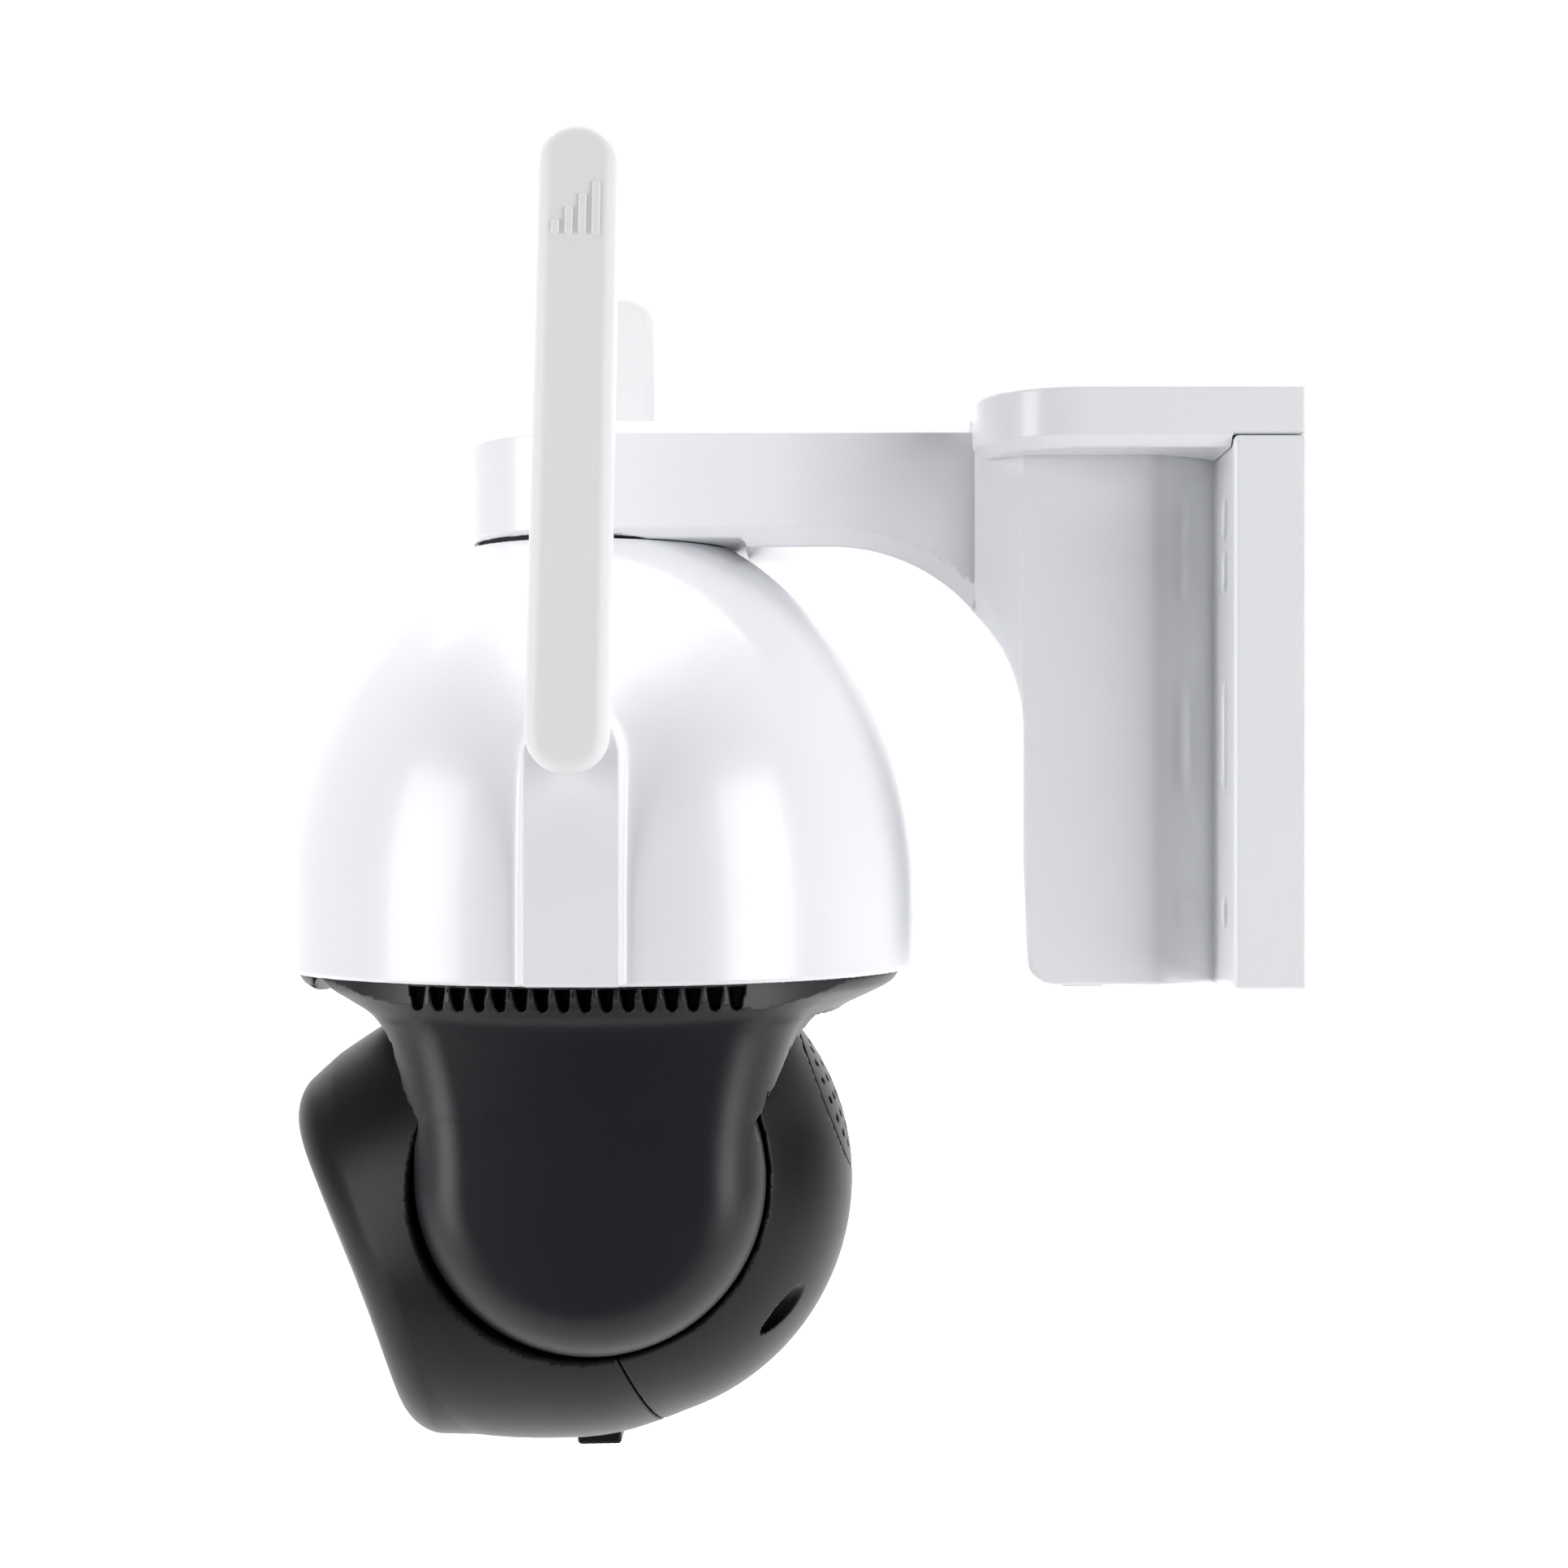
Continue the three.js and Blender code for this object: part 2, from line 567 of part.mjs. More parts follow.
// Flat cover over the open side of an arm, towards the head.
function yokeCover(side) {
  const y0 = side * ARM_INNER_Y;
  const y1 = side * (ARM_INNER_Y + 1.8);
  const plate = drawn(armOutline(ARM_SKIN + GAP, CAVITY_TOP_Z - GAP), y0, y1);
  const head = sphere(POCKET_R, TILT_X, 0, TILT_Z);
  const disc = bar("y", [TILT_X, TILT_Z], ARM_DISC_R - ARM_SKIN - GAP, -FAR, FAR, ROUND);
  const kept = plate.intersect(disc).add(plate.subtract(head));
  return kept.intersect(disc).subtract(bar("y", [TILT_X, TILT_Z], BUSH_R + GAP, -FAR, FAR, MEDIUM));
}

function tube(at, outer, inner, from, to, sides = MEDIUM) {
  return bar("y", at, outer, from, to, sides).subtract(bar("y", at, inner, from - 1, to + 1, sides));
}

// Bodies drawn on the +Y side are mirrored for the near side.
function toSide(body, side) {
  return side > 0 ? body : body.mirror([0, 1, 0]);
}

const TRUNNION_R = 6;
const TRUNNION_BORE_R = 3.5;
const BUSH_R = 9;
const TILT_MOTOR_Y = [37.2, 45];
const TILT_GEAR_Y = 32.8;
const TILT_GEAR_END_Y = 36;
const TILT_DISTANCE = (TILT_MODULE * (TILT_TEETH + TILT_PINION_TEETH)) / 2;

function tiltMotor() {
  const at = [TILT_X, TILT_Z + TILT_DISTANCE];
  return bar("y", at, 10, ...TILT_MOTOR_Y, MEDIUM).subtract(bar("y", at, 2.1, TILT_GEAR_END_Y, 43));
}

function tiltPinion() {
  const phase = -Math.PI / 2 + Math.PI / TILT_PINION_TEETH;
  const wheel = drawn(gearShape(TILT_PINION_TEETH, TILT_MODULE, phase), TILT_GEAR_Y, TILT_GEAR_END_Y);
  const placed = wheel.add(bar("y", [0, 0], 1.8, TILT_GEAR_Y, 42.5, 10));
  return placed.translate([TILT_X, 0, TILT_Z + TILT_DISTANCE]);
}

// The gear is drawn in the head frame, so its phase takes up the head's pitch.
function tiltGear() {
  const phase = Math.PI / 2 - HEAD_PITCH * DEG;
  const wheel = drawn(gearShape(TILT_TEETH, TILT_MODULE, phase), TILT_GEAR_Y, TILT_GEAR_END_Y);
  return wheel.subtract(bar("y", [0, 0], TRUNNION_R + GAP, 30, 40, MEDIUM));
}

// ---- Head, in its own frame: tilt axis at the origin, forward along -X, up along +Z ----

// Outline of the head as [radius, u], from the rear pole to the face, at an inset from the surface.
function headOutline(inset) {
  const r = BALL_R - inset;
  const rear = arcPoints(0, 0, r, -90, 0, 7).map(([radius, u]) => [Math.max(radius, 0), u]);
  const corner = 5;
  const points = [...rear, [r, 12], [r - 0.9, 19], [r - 2.3, 26], [r - 4.6, 34], [36.4 - inset, 46.5]];
  points.push(...arcPoints(31, FACE_U - inset - corner, corner - inset * 0.3, 20, 90, 3));
  points.push([0, points[points.length - 1][1]]);
  return points;
}

function recesses(radius, floorY) {
  const right = bar("y", [0, 0], radius, floorY, 70, 24);
  return right.add(right.mirror([0, 1, 0]));
}

const HEAD_SCREW_Y = 24;
const HEAD_SCREW_V = 31;
const HEAD_BOSS_R = 4.2;
const HEAD_BORE_R = 2.8; // sunk bore for the screw's head
const HEAD_THREAD_R = 1.6;
const HEAD_SEAT_X = 12; // floor of the sunk bore

function headScrewPlaces() {
  return [[-1, -1], [1, -1], [1, 1], [-1, 1]].map(([a, b]) => [a * HEAD_SCREW_Y, BALL_V + b * HEAD_SCREW_V]);
}

const CARD_FRONT_U = 31; // front edge of the card cover, measured from the tilt axis
const CARD_LENGTH = 19;
const CARD_HALF = 8;

function cardWindow(clearance) {
  const x0 = -CARD_FRONT_U - clearance;
  const x1 = -CARD_FRONT_U + CARD_LENGTH + clearance;
  const half = CARD_HALF + clearance;
  return box(x0, x1, -half, half, -FAR, BALL_V - 38);
}

// Everything behind a surface that runs parallel to the face, at an inset from it.
function behindFace(inset) {
  const axisX = -BALL_U - FACE_U + FACE_CURVE_R;
  return bar("z", [axisX, 0], FACE_CURVE_R - inset, -FAR, FAR, 60);
}

function headSolids() {
  const outline = (inset) => turnedForward(headOutline(inset)).intersect(behindFace(inset));
  const outer = outline(0).subtract(recesses(RECESS_R, RECESS_Y));
  const inner = outline(WALL).subtract(recesses(RECESS_R + WALL, RECESS_Y - WALL));
  return { outer, inner, shell: outer.subtract(inner) };
}

const HEAD = headSolids();

function rearShell() {
  const rearHalf = box(-SEAM_U - BALL_U + GAP / 2, FAR, -FAR, FAR, -FAR, FAR);
  let body = HEAD.shell;
  for (const at of headScrewPlaces()) {
    body = body.add(bar("x", at, HEAD_BOSS_R, -SEAM_U, 27).intersect(HEAD.outer));
  }
  body = body.intersect(rearHalf);
  for (const at of headScrewPlaces()) {
    body = body.subtract(bar("x", at, HEAD_BORE_R, HEAD_SEAT_X, FAR));
    body = body.subtract(bar("x", at, HEAD_THREAD_R, -20, HEAD_SEAT_X + 2, SCREW_SIDES));
  }
  body = body.subtract(bar("x", [0, BALL_V], GRILLE_R + GAP, 30, FAR, MEDIUM));
  return body.subtract(bar("y", [0, 0], TRUNNION_R + GAP, -FAR, FAR, MEDIUM));
}

function frontShell() {
  const frontHalf = box(-FAR, -SEAM_U - BALL_U - GAP / 2, -FAR, FAR, -FAR, FAR);
  let body = HEAD.shell;
  for (const at of headScrewPlaces()) {
    body = body.add(bar("x", at, HEAD_BOSS_R, -20, -SEAM_U).intersect(HEAD.outer));
  }
  body = body.intersect(frontHalf);
  for (const at of headScrewPlaces()) {
    body = body.subtract(bar("x", at, HEAD_THREAD_R, -18, 0, SCREW_SIDES));
  }
  body = body.subtract(bar("x", [0, BALL_V], WINDOW_R + GAP, -FAR, -42, ROUND));
  body = body.subtract(cardWindow(GAP));
  return body.subtract(bar("y", [0, 0], TRUNNION_R + GAP, -FAR, FAR, MEDIUM));
}

// The cover is the piece of shell over the card window, with a finger tab at its free end.
function cardCover() {
  const plate = HEAD.shell.intersect(cardWindow(0));
  const tab = box(-4.2, 4.2, -4.5, 4.5, -3.2, 1);
  const placed = tab.rotate([0, 20, 0]).translate([-22, 0, -50.3]);
  return plate.add(placed.subtract(HEAD.inner));
}

function speakerGrille() {
  let body = HEAD.shell.intersect(bar("x", [0, BALL_V], GRILLE_R, 36, FAR, MEDIUM));
  for (const [ring, count] of [[5, 4], [10.5, 8]]) {
    for (let i = 0; i < count; i += 1) {
      const angle = (i * 2 * Math.PI) / count;
      const at = [ring * Math.cos(angle), BALL_V + ring * Math.sin(angle)];
      body = body.subtract(bar("x", at, 0.9, 30, FAR, 4));
    }
  }
  return body;
}

// A block along the optical axis, from u0 to u1 in front of the ball's centre.
function onAxis(u0, u1, halfY, halfZ) {
  return box(-BALL_U - u1, -BALL_U - u0, -halfY, halfY, BALL_V - halfZ, BALL_V + halfZ);
}

function ring(outer, inner, u0, u1, sides = MEDIUM) {
  return turnedForward([[inner, u0], [outer, u0], [outer, u1], [inner, u1], [inner, u0]], sides);
}

function disc(radius, u0, u1, sides = MEDIUM) {
  return turnedForward([[0, u0], [radius, u0], [radius, u1], [0, u1]], sides);
}

// A lens element with domed faces.
function lensElement(radius, u0, u1, bulge) {
  return turnedForward([[0, u0 - bulge / 2], [radius * 0.6, u0 - bulge / 4], [radius, u0], [radius, u1],
    [radius * 0.6, u1 + bulge * 0.65], [0, u1 + bulge]], MEDIUM);
}

function headChassis() {
  const plate = onAxis(9, 11, 19, 30).subtract(onAxis(0, 20, 4, 4));
  return plate.intersect(HEAD.inner);
}

function trunnion(side) {
  const end = side > 0 ? TILT_GEAR_END_Y : 33.6;
  const flange = tube([0, 0], 9.5, TRUNNION_BORE_R, 23.8, RECESS_Y - WALL - GAP);
  return toSide(flange.add(tube([0, 0], TRUNNION_R, TRUNNION_BORE_R, 23.8, end)), side);
}

// ---- Antennas: pivot at the origin, blade along +Z, drawn on the +Y side ----

function antennaBlade() {
  const outline = polygon([
    ...arcPoints(0, 0, ANTENNA_BASE_R, 180, 360, 10),
    ...arcPoints(0, ANTENNA_LENGTH - ANTENNA_TIP_R, ANTENNA_TIP_R, 0, 180, 10),
  ]);
  const blade = drawn(outline, ANTENNA_INNER_Y, ANTENNA_OUTER_Y, [2, 2, 2]);
  return blade.subtract(bar("y", [0, 0], ANTENNA_BORE_R, ANTENNA_INNER_Y - 1, ANTENNA_INNER_Y + 5));
}

// ---- Assembly ----

const model = new THREE.Group();
const camera = new THREE.Group();
camera.position.set(-WALL_X, 0, -MID_Z);
model.add(camera);

named("bracket_body", bracketBody(), WHITE, camera);
named("bracket_hood", bracketHood(), WHITE, camera);
const grommet = grommetBlock(0, BRACKET_BOTTOM_Z - 2.2, BRACKET_BOTTOM_Z + 4 - GAP);
named("cable_grommet", grommet, WHITE_SATIN, camera);
named("dome_shell", domeShell(), WHITE, camera);
named("dome_gasket", band(GASKET_R, GASKET_R + GASKET_WIDTH, CAP_Z, GASKET_TOP_Z), RUBBER, camera);
CAP_SCREWS.forEach((at, i) => {
  named(`cap_screw_${i + 1}`, screw("z", at, 74.6, 76.6, 83), STEEL, camera);
});
named("base_plate", basePlate(), BLACK_INNER, camera);
BASE_SCREWS.forEach((at, i) => {
  named(`base_screw_${i + 1}`, screw("z", at, 17, 19, 30.5), STEEL, camera);
});
named("pan_bearing", band(HUB_R + GAP, BEARING_R, BASE_PLATE_Z, PAN_GEAR_Z - 0.6), STEEL, camera);
named("pan_motor", panMotor(), STEEL, camera);
const boardTop = BOARD_Z + BOARD_THICK;
named("main_board", box(-28, 28, -30, 30, BOARD_Z, boardTop), BOARD, camera);
named("processor_shield", box(-10, 12, -14, 8, boardTop + GAP, boardTop + 3.4), STEEL, camera);
named("radio_shield", box(-22, -12, 12, 26, boardTop + GAP, boardTop + 2.8), STEEL, camera);

named("turntable_yoke", turntableYoke(), BLACK, camera);
named("pan_gear", panGear(), NYLON, camera);
named("pan_pinion", panPinion(), NYLON, camera);
named("tilt_motor", tiltMotor(), STEEL, camera);
named("tilt_pinion", tiltPinion(), NYLON, camera);

const head = new THREE.Group();
head.position.set(TILT_X, 0, TILT_Z);
head.rotation.y = -HEAD_PITCH * DEG;
camera.add(head);

for (const [side, place] of [[-1, "near"], [1, "far"]]) {
  named(`yoke_cover_${place}`, yokeCover(side), BLACK_INNER, camera);
  const bush = tube([TILT_X, TILT_Z], BUSH_R, TRUNNION_R + 0.1, ARM_INNER_Y, TILT_GEAR_Y - 0.6);
  named(`tilt_bush_${place}`, toSide(bush, side), NYLON, camera);
  named(`trunnion_${place}`, trunnion(side), BLACK_INNER, head);
  const pin = bar("y", [0, PIVOT_Z], 2.5, 52, ANTENNA_INNER_Y + 4.5);
  named(`antenna_pin_${place}`, toSide(pin, side), STEEL, camera);
  const antenna = new THREE.Group();
  antenna.position.set(0, 0, PIVOT_Z);
  antenna.rotation.y = (side < 0 ? ANTENNA_NEAR_LEAN : ANTENNA_FAR_LEAN) * DEG;
  camera.add(antenna);
  named(`antenna_${place}`, toSide(antennaBlade(), side), WHITE_SATIN, antenna);
}

named("head_rear_shell", rearShell(), BLACK, head);
named("head_front_shell", frontShell(), BLACK, head);
named("speaker_grille", speakerGrille(), BLACK, head);
named("speaker", disc(12, -39, -34), BLACK_INNER, head);
named("tilt_gear", tiltGear(), NYLON, head);
const windowDisc = disc(WINDOW_R, FACE_U - 10, FACE_U, ROUND);
const windowFront = windowDisc.intersect(behindFace(WINDOW_INSET));
named("front_window", windowFront.subtract(behindFace(WINDOW_INSET + WINDOW_THICK)), GLASS, head);
named("lamp_board", ring(26.5, 11.5, 42, 43.4, MEDIUM), BOARD, head);
const lampBack = -BALL_U - 43.7;
for (let i = 0; i < 4; i += 1) {
  const angle = (45 + 90 * i) * DEG;
  const at = [LAMP_RING_R * Math.cos(angle), BALL_V + LAMP_RING_R * Math.sin(angle)];
  named(`lamp_${i + 1}`, bar("x", at, 3, lampBack - 1.9, lampBack), LAMP, head);
}
const sensor = bar("x", [0, BALL_V + LAMP_RING_R], 1.6, lampBack - 2.3, lampBack, SCREW_SIDES);
named("light_sensor", sensor, GLASS, head);
named("lens_barrel", ring(10, 8, 24, 46.5), BLACK_INNER, head);
named("lens_front_element", lensElement(7.7, 41, 44, 1.8), GLASS, head);
named("lens_rear_element", lensElement(7.7, 26, 28, 1.2), GLASS, head);
const holder = onAxis(16.6, 23.7, 11, 11).subtract(bar("x", [0, BALL_V], 7.5, -30, -10, MEDIUM));
named("lens_holder", holder, BLACK_INNER, head);
named("image_sensor", onAxis(15, 16, 4.5, 4.5), GLASS, head);
named("sensor_board", onAxis(13.1, 14.7, 17, 17), BOARD, head);
named("head_chassis", headChassis(), BLACK_INNER, head);
headScrewPlaces().forEach((at, i) => {
  named(`head_screw_${i + 1}`, screw("x", at, 14.3, 12.3, -17, 2.4, 1.3), STEEL, head);
});
named("service_board", box(-36, -8, -12, 12, -39.5, -38.3), BOARD, head);
named("card_socket", box(-32, -18, -7, 7, -41.7, -39.8), STEEL, head);
named("reset_button", bar("z", [-13.5, 0], 1.3, -42.2, -40.2, 10), BLACK_INNER, head);
named("card_cover", cardCover(), BLACK, head);

export default model;
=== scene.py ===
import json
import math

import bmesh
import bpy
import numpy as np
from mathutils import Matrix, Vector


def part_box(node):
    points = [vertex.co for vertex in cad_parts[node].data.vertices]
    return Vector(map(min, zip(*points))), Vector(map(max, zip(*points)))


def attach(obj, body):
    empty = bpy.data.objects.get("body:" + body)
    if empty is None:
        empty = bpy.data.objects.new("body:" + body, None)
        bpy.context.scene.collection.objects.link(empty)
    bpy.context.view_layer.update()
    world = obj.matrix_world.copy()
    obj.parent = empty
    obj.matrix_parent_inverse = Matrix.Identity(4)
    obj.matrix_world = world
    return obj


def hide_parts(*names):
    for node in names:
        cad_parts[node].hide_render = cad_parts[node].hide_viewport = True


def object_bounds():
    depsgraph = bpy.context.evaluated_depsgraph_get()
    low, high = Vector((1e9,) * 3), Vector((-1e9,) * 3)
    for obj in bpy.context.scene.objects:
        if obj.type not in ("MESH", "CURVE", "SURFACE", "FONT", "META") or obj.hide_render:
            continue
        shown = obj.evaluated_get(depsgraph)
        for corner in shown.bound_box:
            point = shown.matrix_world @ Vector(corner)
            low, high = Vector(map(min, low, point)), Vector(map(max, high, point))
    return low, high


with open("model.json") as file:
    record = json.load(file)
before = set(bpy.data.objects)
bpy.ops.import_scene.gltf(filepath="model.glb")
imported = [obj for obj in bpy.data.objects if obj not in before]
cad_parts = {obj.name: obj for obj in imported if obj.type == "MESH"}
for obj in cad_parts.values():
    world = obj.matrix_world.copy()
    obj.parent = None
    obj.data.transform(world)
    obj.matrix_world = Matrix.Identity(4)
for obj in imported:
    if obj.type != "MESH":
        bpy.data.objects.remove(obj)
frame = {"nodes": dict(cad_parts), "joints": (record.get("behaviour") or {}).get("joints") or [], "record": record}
CAD_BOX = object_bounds()

# Looks of the pan and tilt security camera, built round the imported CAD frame.
#
# The moulded shells are implicit surfaces: each one is a signed distance in millimetres, built from the
# sizes below, and turned into a mesh whose vertices are moved exactly onto the surface. Shells are worked
# out in the camera frame (pan axis X = Y = 0, dome rim Z = 0) or in the head frame (tilt axis at the
# origin, lens axis along -X), and placed from the boxes of the CAD nodes.

MM = 0.001
FAR = 100.0
TINY = 1e-9

# ---- Places, from the frame, in millimetres ----


def box_mm(node):
    """The lowest and highest corner of a CAD node."""
    low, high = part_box(node)
    return np.array(low) / MM, np.array(high) / MM


def joint_mm(name):
    """A point on the axis of a joint."""
    return np.array(next(j for j in frame["joints"] if j["name"] == name)["pos_m"]) / MM


dome_low, dome_high = box_mm("dome_shell")
bracket_low, bracket_high = box_mm("bracket_body")
hood_high = box_mm("bracket_hood")[1]
ORIGIN = np.array([(dome_low[0] + dome_high[0]) / 2, 0.0, dome_low[2]])
TILT = joint_mm("tilt") - ORIGIN
PIVOT_Z = joint_mm("antenna_near_swing")[2] - ORIGIN[2]
HEAD_PITCH = math.radians(21)

WALL_X = bracket_high[0] - ORIGIN[0]
BRACKET_BOTTOM = bracket_low[2] - ORIGIN[2]
HOOD_TOP = hood_high[2] - ORIGIN[2]
MID_Z = -ORIGIN[2]

# ---- Driving dimensions of the shells ----

SHELL = 2.4
DOME_R = 60.0
DOME_RIM_R = 60.2
DOME_EQUATOR = 12.3
DOME_RISE = 74.0
DOME_TOP = dome_high[2] - dome_low[2]
PILASTER_HALF = 8.35
PILASTER_FACE = dome_high[1]
PILASTER_ROOT = 35.0
PILASTER_DROP = 3.5
PILASTER_FILLET = 1.6
RIM_EDGE_R = 0.9
PIN_BORE_R = 2.7

CAP_R = 25.4
ARM_BOTTOM = 77.8
ARM_TOP = bracket_high[2] - ORIGIN[2]
ARCH_X, ARCH_Z, ARCH_R = 44.0, 43.8, 34.0
ARCH_FLARE, FLARE_TOP, FLARE_HEIGHT = 1.6, 20.0, 40.0
ARCH_CHAMFER, TOP_CHAMFER = 3.3, 2.5
FOOT_R = 5.0
NECK_START, NECK_END = 70.0, 78.0
COLUMN_HALF = 33.0
VALLEY_START, VALLEY_HALF = 100.0, 25.0
FLANGE_X = 113.8
FLANGE_HALF = bracket_high[1]
SLOT_Y, SLOT_R = 34.5, 2.5
SLOT_HEIGHTS = ((68.5, 76), (78, 85.1), (33.4, 52.5), (9, 14.2))
CABLE_HALF, POCKET_HALF = 18.0, 22.0
HOLLOW_EDGE_R = 2.0
FLANGE_EDGE_R, FLANGE_FILLET = 0.9, 2.2
CAP_GAP = 0.08
HOOD_FRONT = 69.5
HOOD_BOTTOM = 95.1
HOOD_CORNER = 19.0
HOOD_LIP = 2.0
HOOD_BEVEL = 2.1

POCKET_R = 52.5
POCKET_REACH = 43.0
TURNTABLE_R = 57.0
TURNTABLE_TOP, TURNTABLE_BOTTOM = 1.0, -14.0
YOKE_DISC_R = 31.2
YOKE_INNER, YOKE_OUTER = 29.6, 50.0
YOKE_WALL = 2.6
YOKE_EDGE_R = 11.0
YOKE_FILLET = 11.0
CROWN_ACROSS, CROWN_BELOW = 3.2, 3.4
NECK_WIDENING, NECK_FROM, NECK_HEIGHT = 3.4, 2.0, 22.0
BOWL_WALL = 2.0
RELIEF_R, RELIEF_HALF = 61.6, 36.5
RELIEF_ANGLE = math.radians(35.8)
HUB_BORE_R, HUB_R, HUB_BOTTOM, HUB_TOP = 6.0, 10.0, 15.5, 29.0
VENT_PITCH, VENT_COUNT = 3.65, 16
VENT_TOP, VENT_BOTTOM, VENT_END_R = -0.6, -3.8, 0.8
VENT_FROM_Y = 45.5

BALL_R = 46.0
BALL_U, BALL_V = 0.6, -4.7
SNOUT_RISE = 2.3
SEAM_U = 6.0
SEAM_GAP = 0.12
FACE_U = 51.0
FACE_CURVE_R = 89.0
FACE_EDGE_R = 4.5
RECESS_R, RECESS_Y = 31.6, 29.0
TRUNNION_BORE_R, TRUNNION_ROOT = 6.3, 20.0
SCREW_Y, SCREW_V = 24.0, 31.0
SCREW_BOSS_R, SCREW_HEAD_R, SCREW_HOLE_R = 4.2, 2.75, 1.6
BOSS_BACK, SCREW_SEAT_X = 27.0, 12.0
CARD_FRONT, CARD_LENGTH, CARD_HALF = 31.0, 19.0, 8.0
CARD_TOP = BALL_V - 38
TAB_X, TAB_Z, TAB_ANGLE = -20.5, -50.3, math.radians(20)
GRILLE_R, GRILLE_X = 14.5, 30.0
GRILLE_RINGS = ((0, 1), (3.6, 6), (7.2, 12), (10.8, 18))
GRILLE_HOLE_R = 0.62
WINDOW_R = 28.2
MASK_FRONT, MASK_BACK = 0.9, 2.6
PANE_FRONT, PANE_BACK = 2.75, 3.4
LENS_OPENING_R = 9.4
LAMP_OFFSET, LAMP_OPENING_R = 13.44, 3.7
SENSOR_V, SENSOR_OPENING_R = 19.0, 1.9

ANTENNA_LENGTH = 100.2
ANTENNA_BASE_R, ANTENNA_TIP_R = 6.95, 6.5
ANTENNA_MID_Y, ANTENNA_HALF = 66.2, 4.7
ANTENNA_EDGE_R = 3.0
MARK_BARS, MARK_PITCH, MARK_HALF = 4, 2.2, 0.6
MARK_START, MARK_BASE = -3.3, ANTENNA_LENGTH - 19
MARK_FIRST_TOP, MARK_RISE = ANTENNA_LENGTH - 16.6, 2.1
MARK_SUNK, MARK_PROUD = 0.7, 0.35

# ---- Signed distances ----


def smooth_min(a, b, k):
    """Union with a fillet: k is about 1.2 times the fillet's radius."""
    h = np.maximum(k - np.abs(a - b), 0) / k
    return np.minimum(a, b) - h * h * k / 4


def smooth_max(a, b, k):
    """Intersection with its edge rounded in the same way."""
    return -smooth_min(-a, -b, k)


def round_max(a, b, radius):
    """Intersection whose outer edge is rounded to a true radius."""
    a, b = a + radius, b + radius
    return np.minimum(np.maximum(a, b), 0) + np.hypot(np.maximum(a, 0), np.maximum(b, 0)) - radius


def chamfer_max(a, b, size):
    """Intersection whose outer edge is cut off at 45 degrees, size wide on each face."""
    return np.maximum(np.maximum(a, b), (a + b + size) * math.sqrt(0.5))


def slab(value, low, high):
    """Distance to the layer between two planes."""
    return np.maximum(low - value, value - high)


def cut(body, tool, edge=0.4):
    """Takes the tool away, leaving a slightly broken edge."""
    return smooth_max(body, -tool, edge)


def corner(a, b):
    """Distance to a square outer corner of two faces that stand at right angles."""
    return np.hypot(np.maximum(a, 0), np.maximum(b, 0)) + np.minimum(np.maximum(a, b), 0)


def block(p, low, high, radius=0.5):
    """A box with rounded edges."""
    centre = [(a + b) / 2 for a, b in zip(low, high)]
    half = [(b - a) / 2 - radius for a, b in zip(low, high)]
    q = [np.abs(v - c) - h for v, c, h in zip(p, centre, half)]
    outside = np.sqrt(sum(np.maximum(v, 0) ** 2 for v in q))
    return outside + np.minimum(np.maximum(np.maximum(q[0], q[1]), q[2]), 0) - radius


def side_bore(body, x, y, z, radius, root):
    """Bores a hole along Y about x = z = 0 in both sides, leaving what lies nearer than root."""
    return np.maximum(body, radius - np.hypot(x, z) - FAR * (np.abs(y) < root))


def through_curve(points):
    """A smooth function through [at, value] points, by cubic pieces that share their slopes."""
    at, value = np.array(points, float).T
    slope = np.gradient(value, at)

    def evaluate(v):
        v = np.clip(v, at[0], at[-1])
        i = np.clip(np.searchsorted(at, v) - 1, 0, len(at) - 2)
        span = at[i + 1] - at[i]
        t = (v - at[i]) / span
        start = (2 * t**3 - 3 * t**2 + 1) * value[i] + (t**3 - 2 * t**2 + t) * slope[i] * span
        return start + (3 * t**2 - 2 * t**3) * value[i + 1] + (t**3 - t**2) * slope[i + 1] * span

    return evaluate


# ---- From a distance to a mesh ----

CORNERS = [(i, j, k) for i in (0, 1) for j in (0, 1) for k in (0, 1)]
NEWTON_STEPS = 3
LONGEST_MOVE = 0.5
SLOPE_STEP = 0.02
LEAST_STEEPNESS = 0.05


def steps(low, high, step, *fine):
    """Grid lines from low to high. Each of fine is (from, to, step) for a stretch with closer lines."""
    lines = [low]
    while lines[-1] < high:
        at = lines[-1]
        size = step
        for start, end, small in fine:
            if start - step < at < end:
                size = small
        lines.append(at + size)
    return np.array(lines)


def both_sides(low, high, step):
    """A stretch of closer lines and its mirror image."""
    return (-high, -low, step), (low, high, step)


def at_corner(array, offset):
    """The array's values at one corner of every grid cell."""
    return array[tuple(slice(o, o + n - 1) for o, n in zip(offset, array.shape))]


def crossing_means(field, grid, active):
    """For each active cell, the mean of the points where the surface crosses the cell's edges."""
    total = np.zeros((active.sum(), 3))
    hits = np.zeros(active.sum())
    for start in CORNERS:
        for axis in range(3):
            if start[axis]:
                continue
            end = tuple(1 if n == axis else v for n, v in enumerate(start))
            first, last = at_corner(field, start)[active], at_corner(field, end)[active]
            crossed = (first < 0) != (last < 0)
            t = np.where(crossed, first / np.where(crossed, first - last, 1), 0)
            p = np.stack([at_corner(g, start)[active] for g in grid], 1)
            q = np.stack([at_corner(g, end)[active] for g in grid], 1)
            total += np.where(crossed[:, None], p + (q - p) * t[:, None], 0)
            hits += crossed
    return total / hits[:, None]


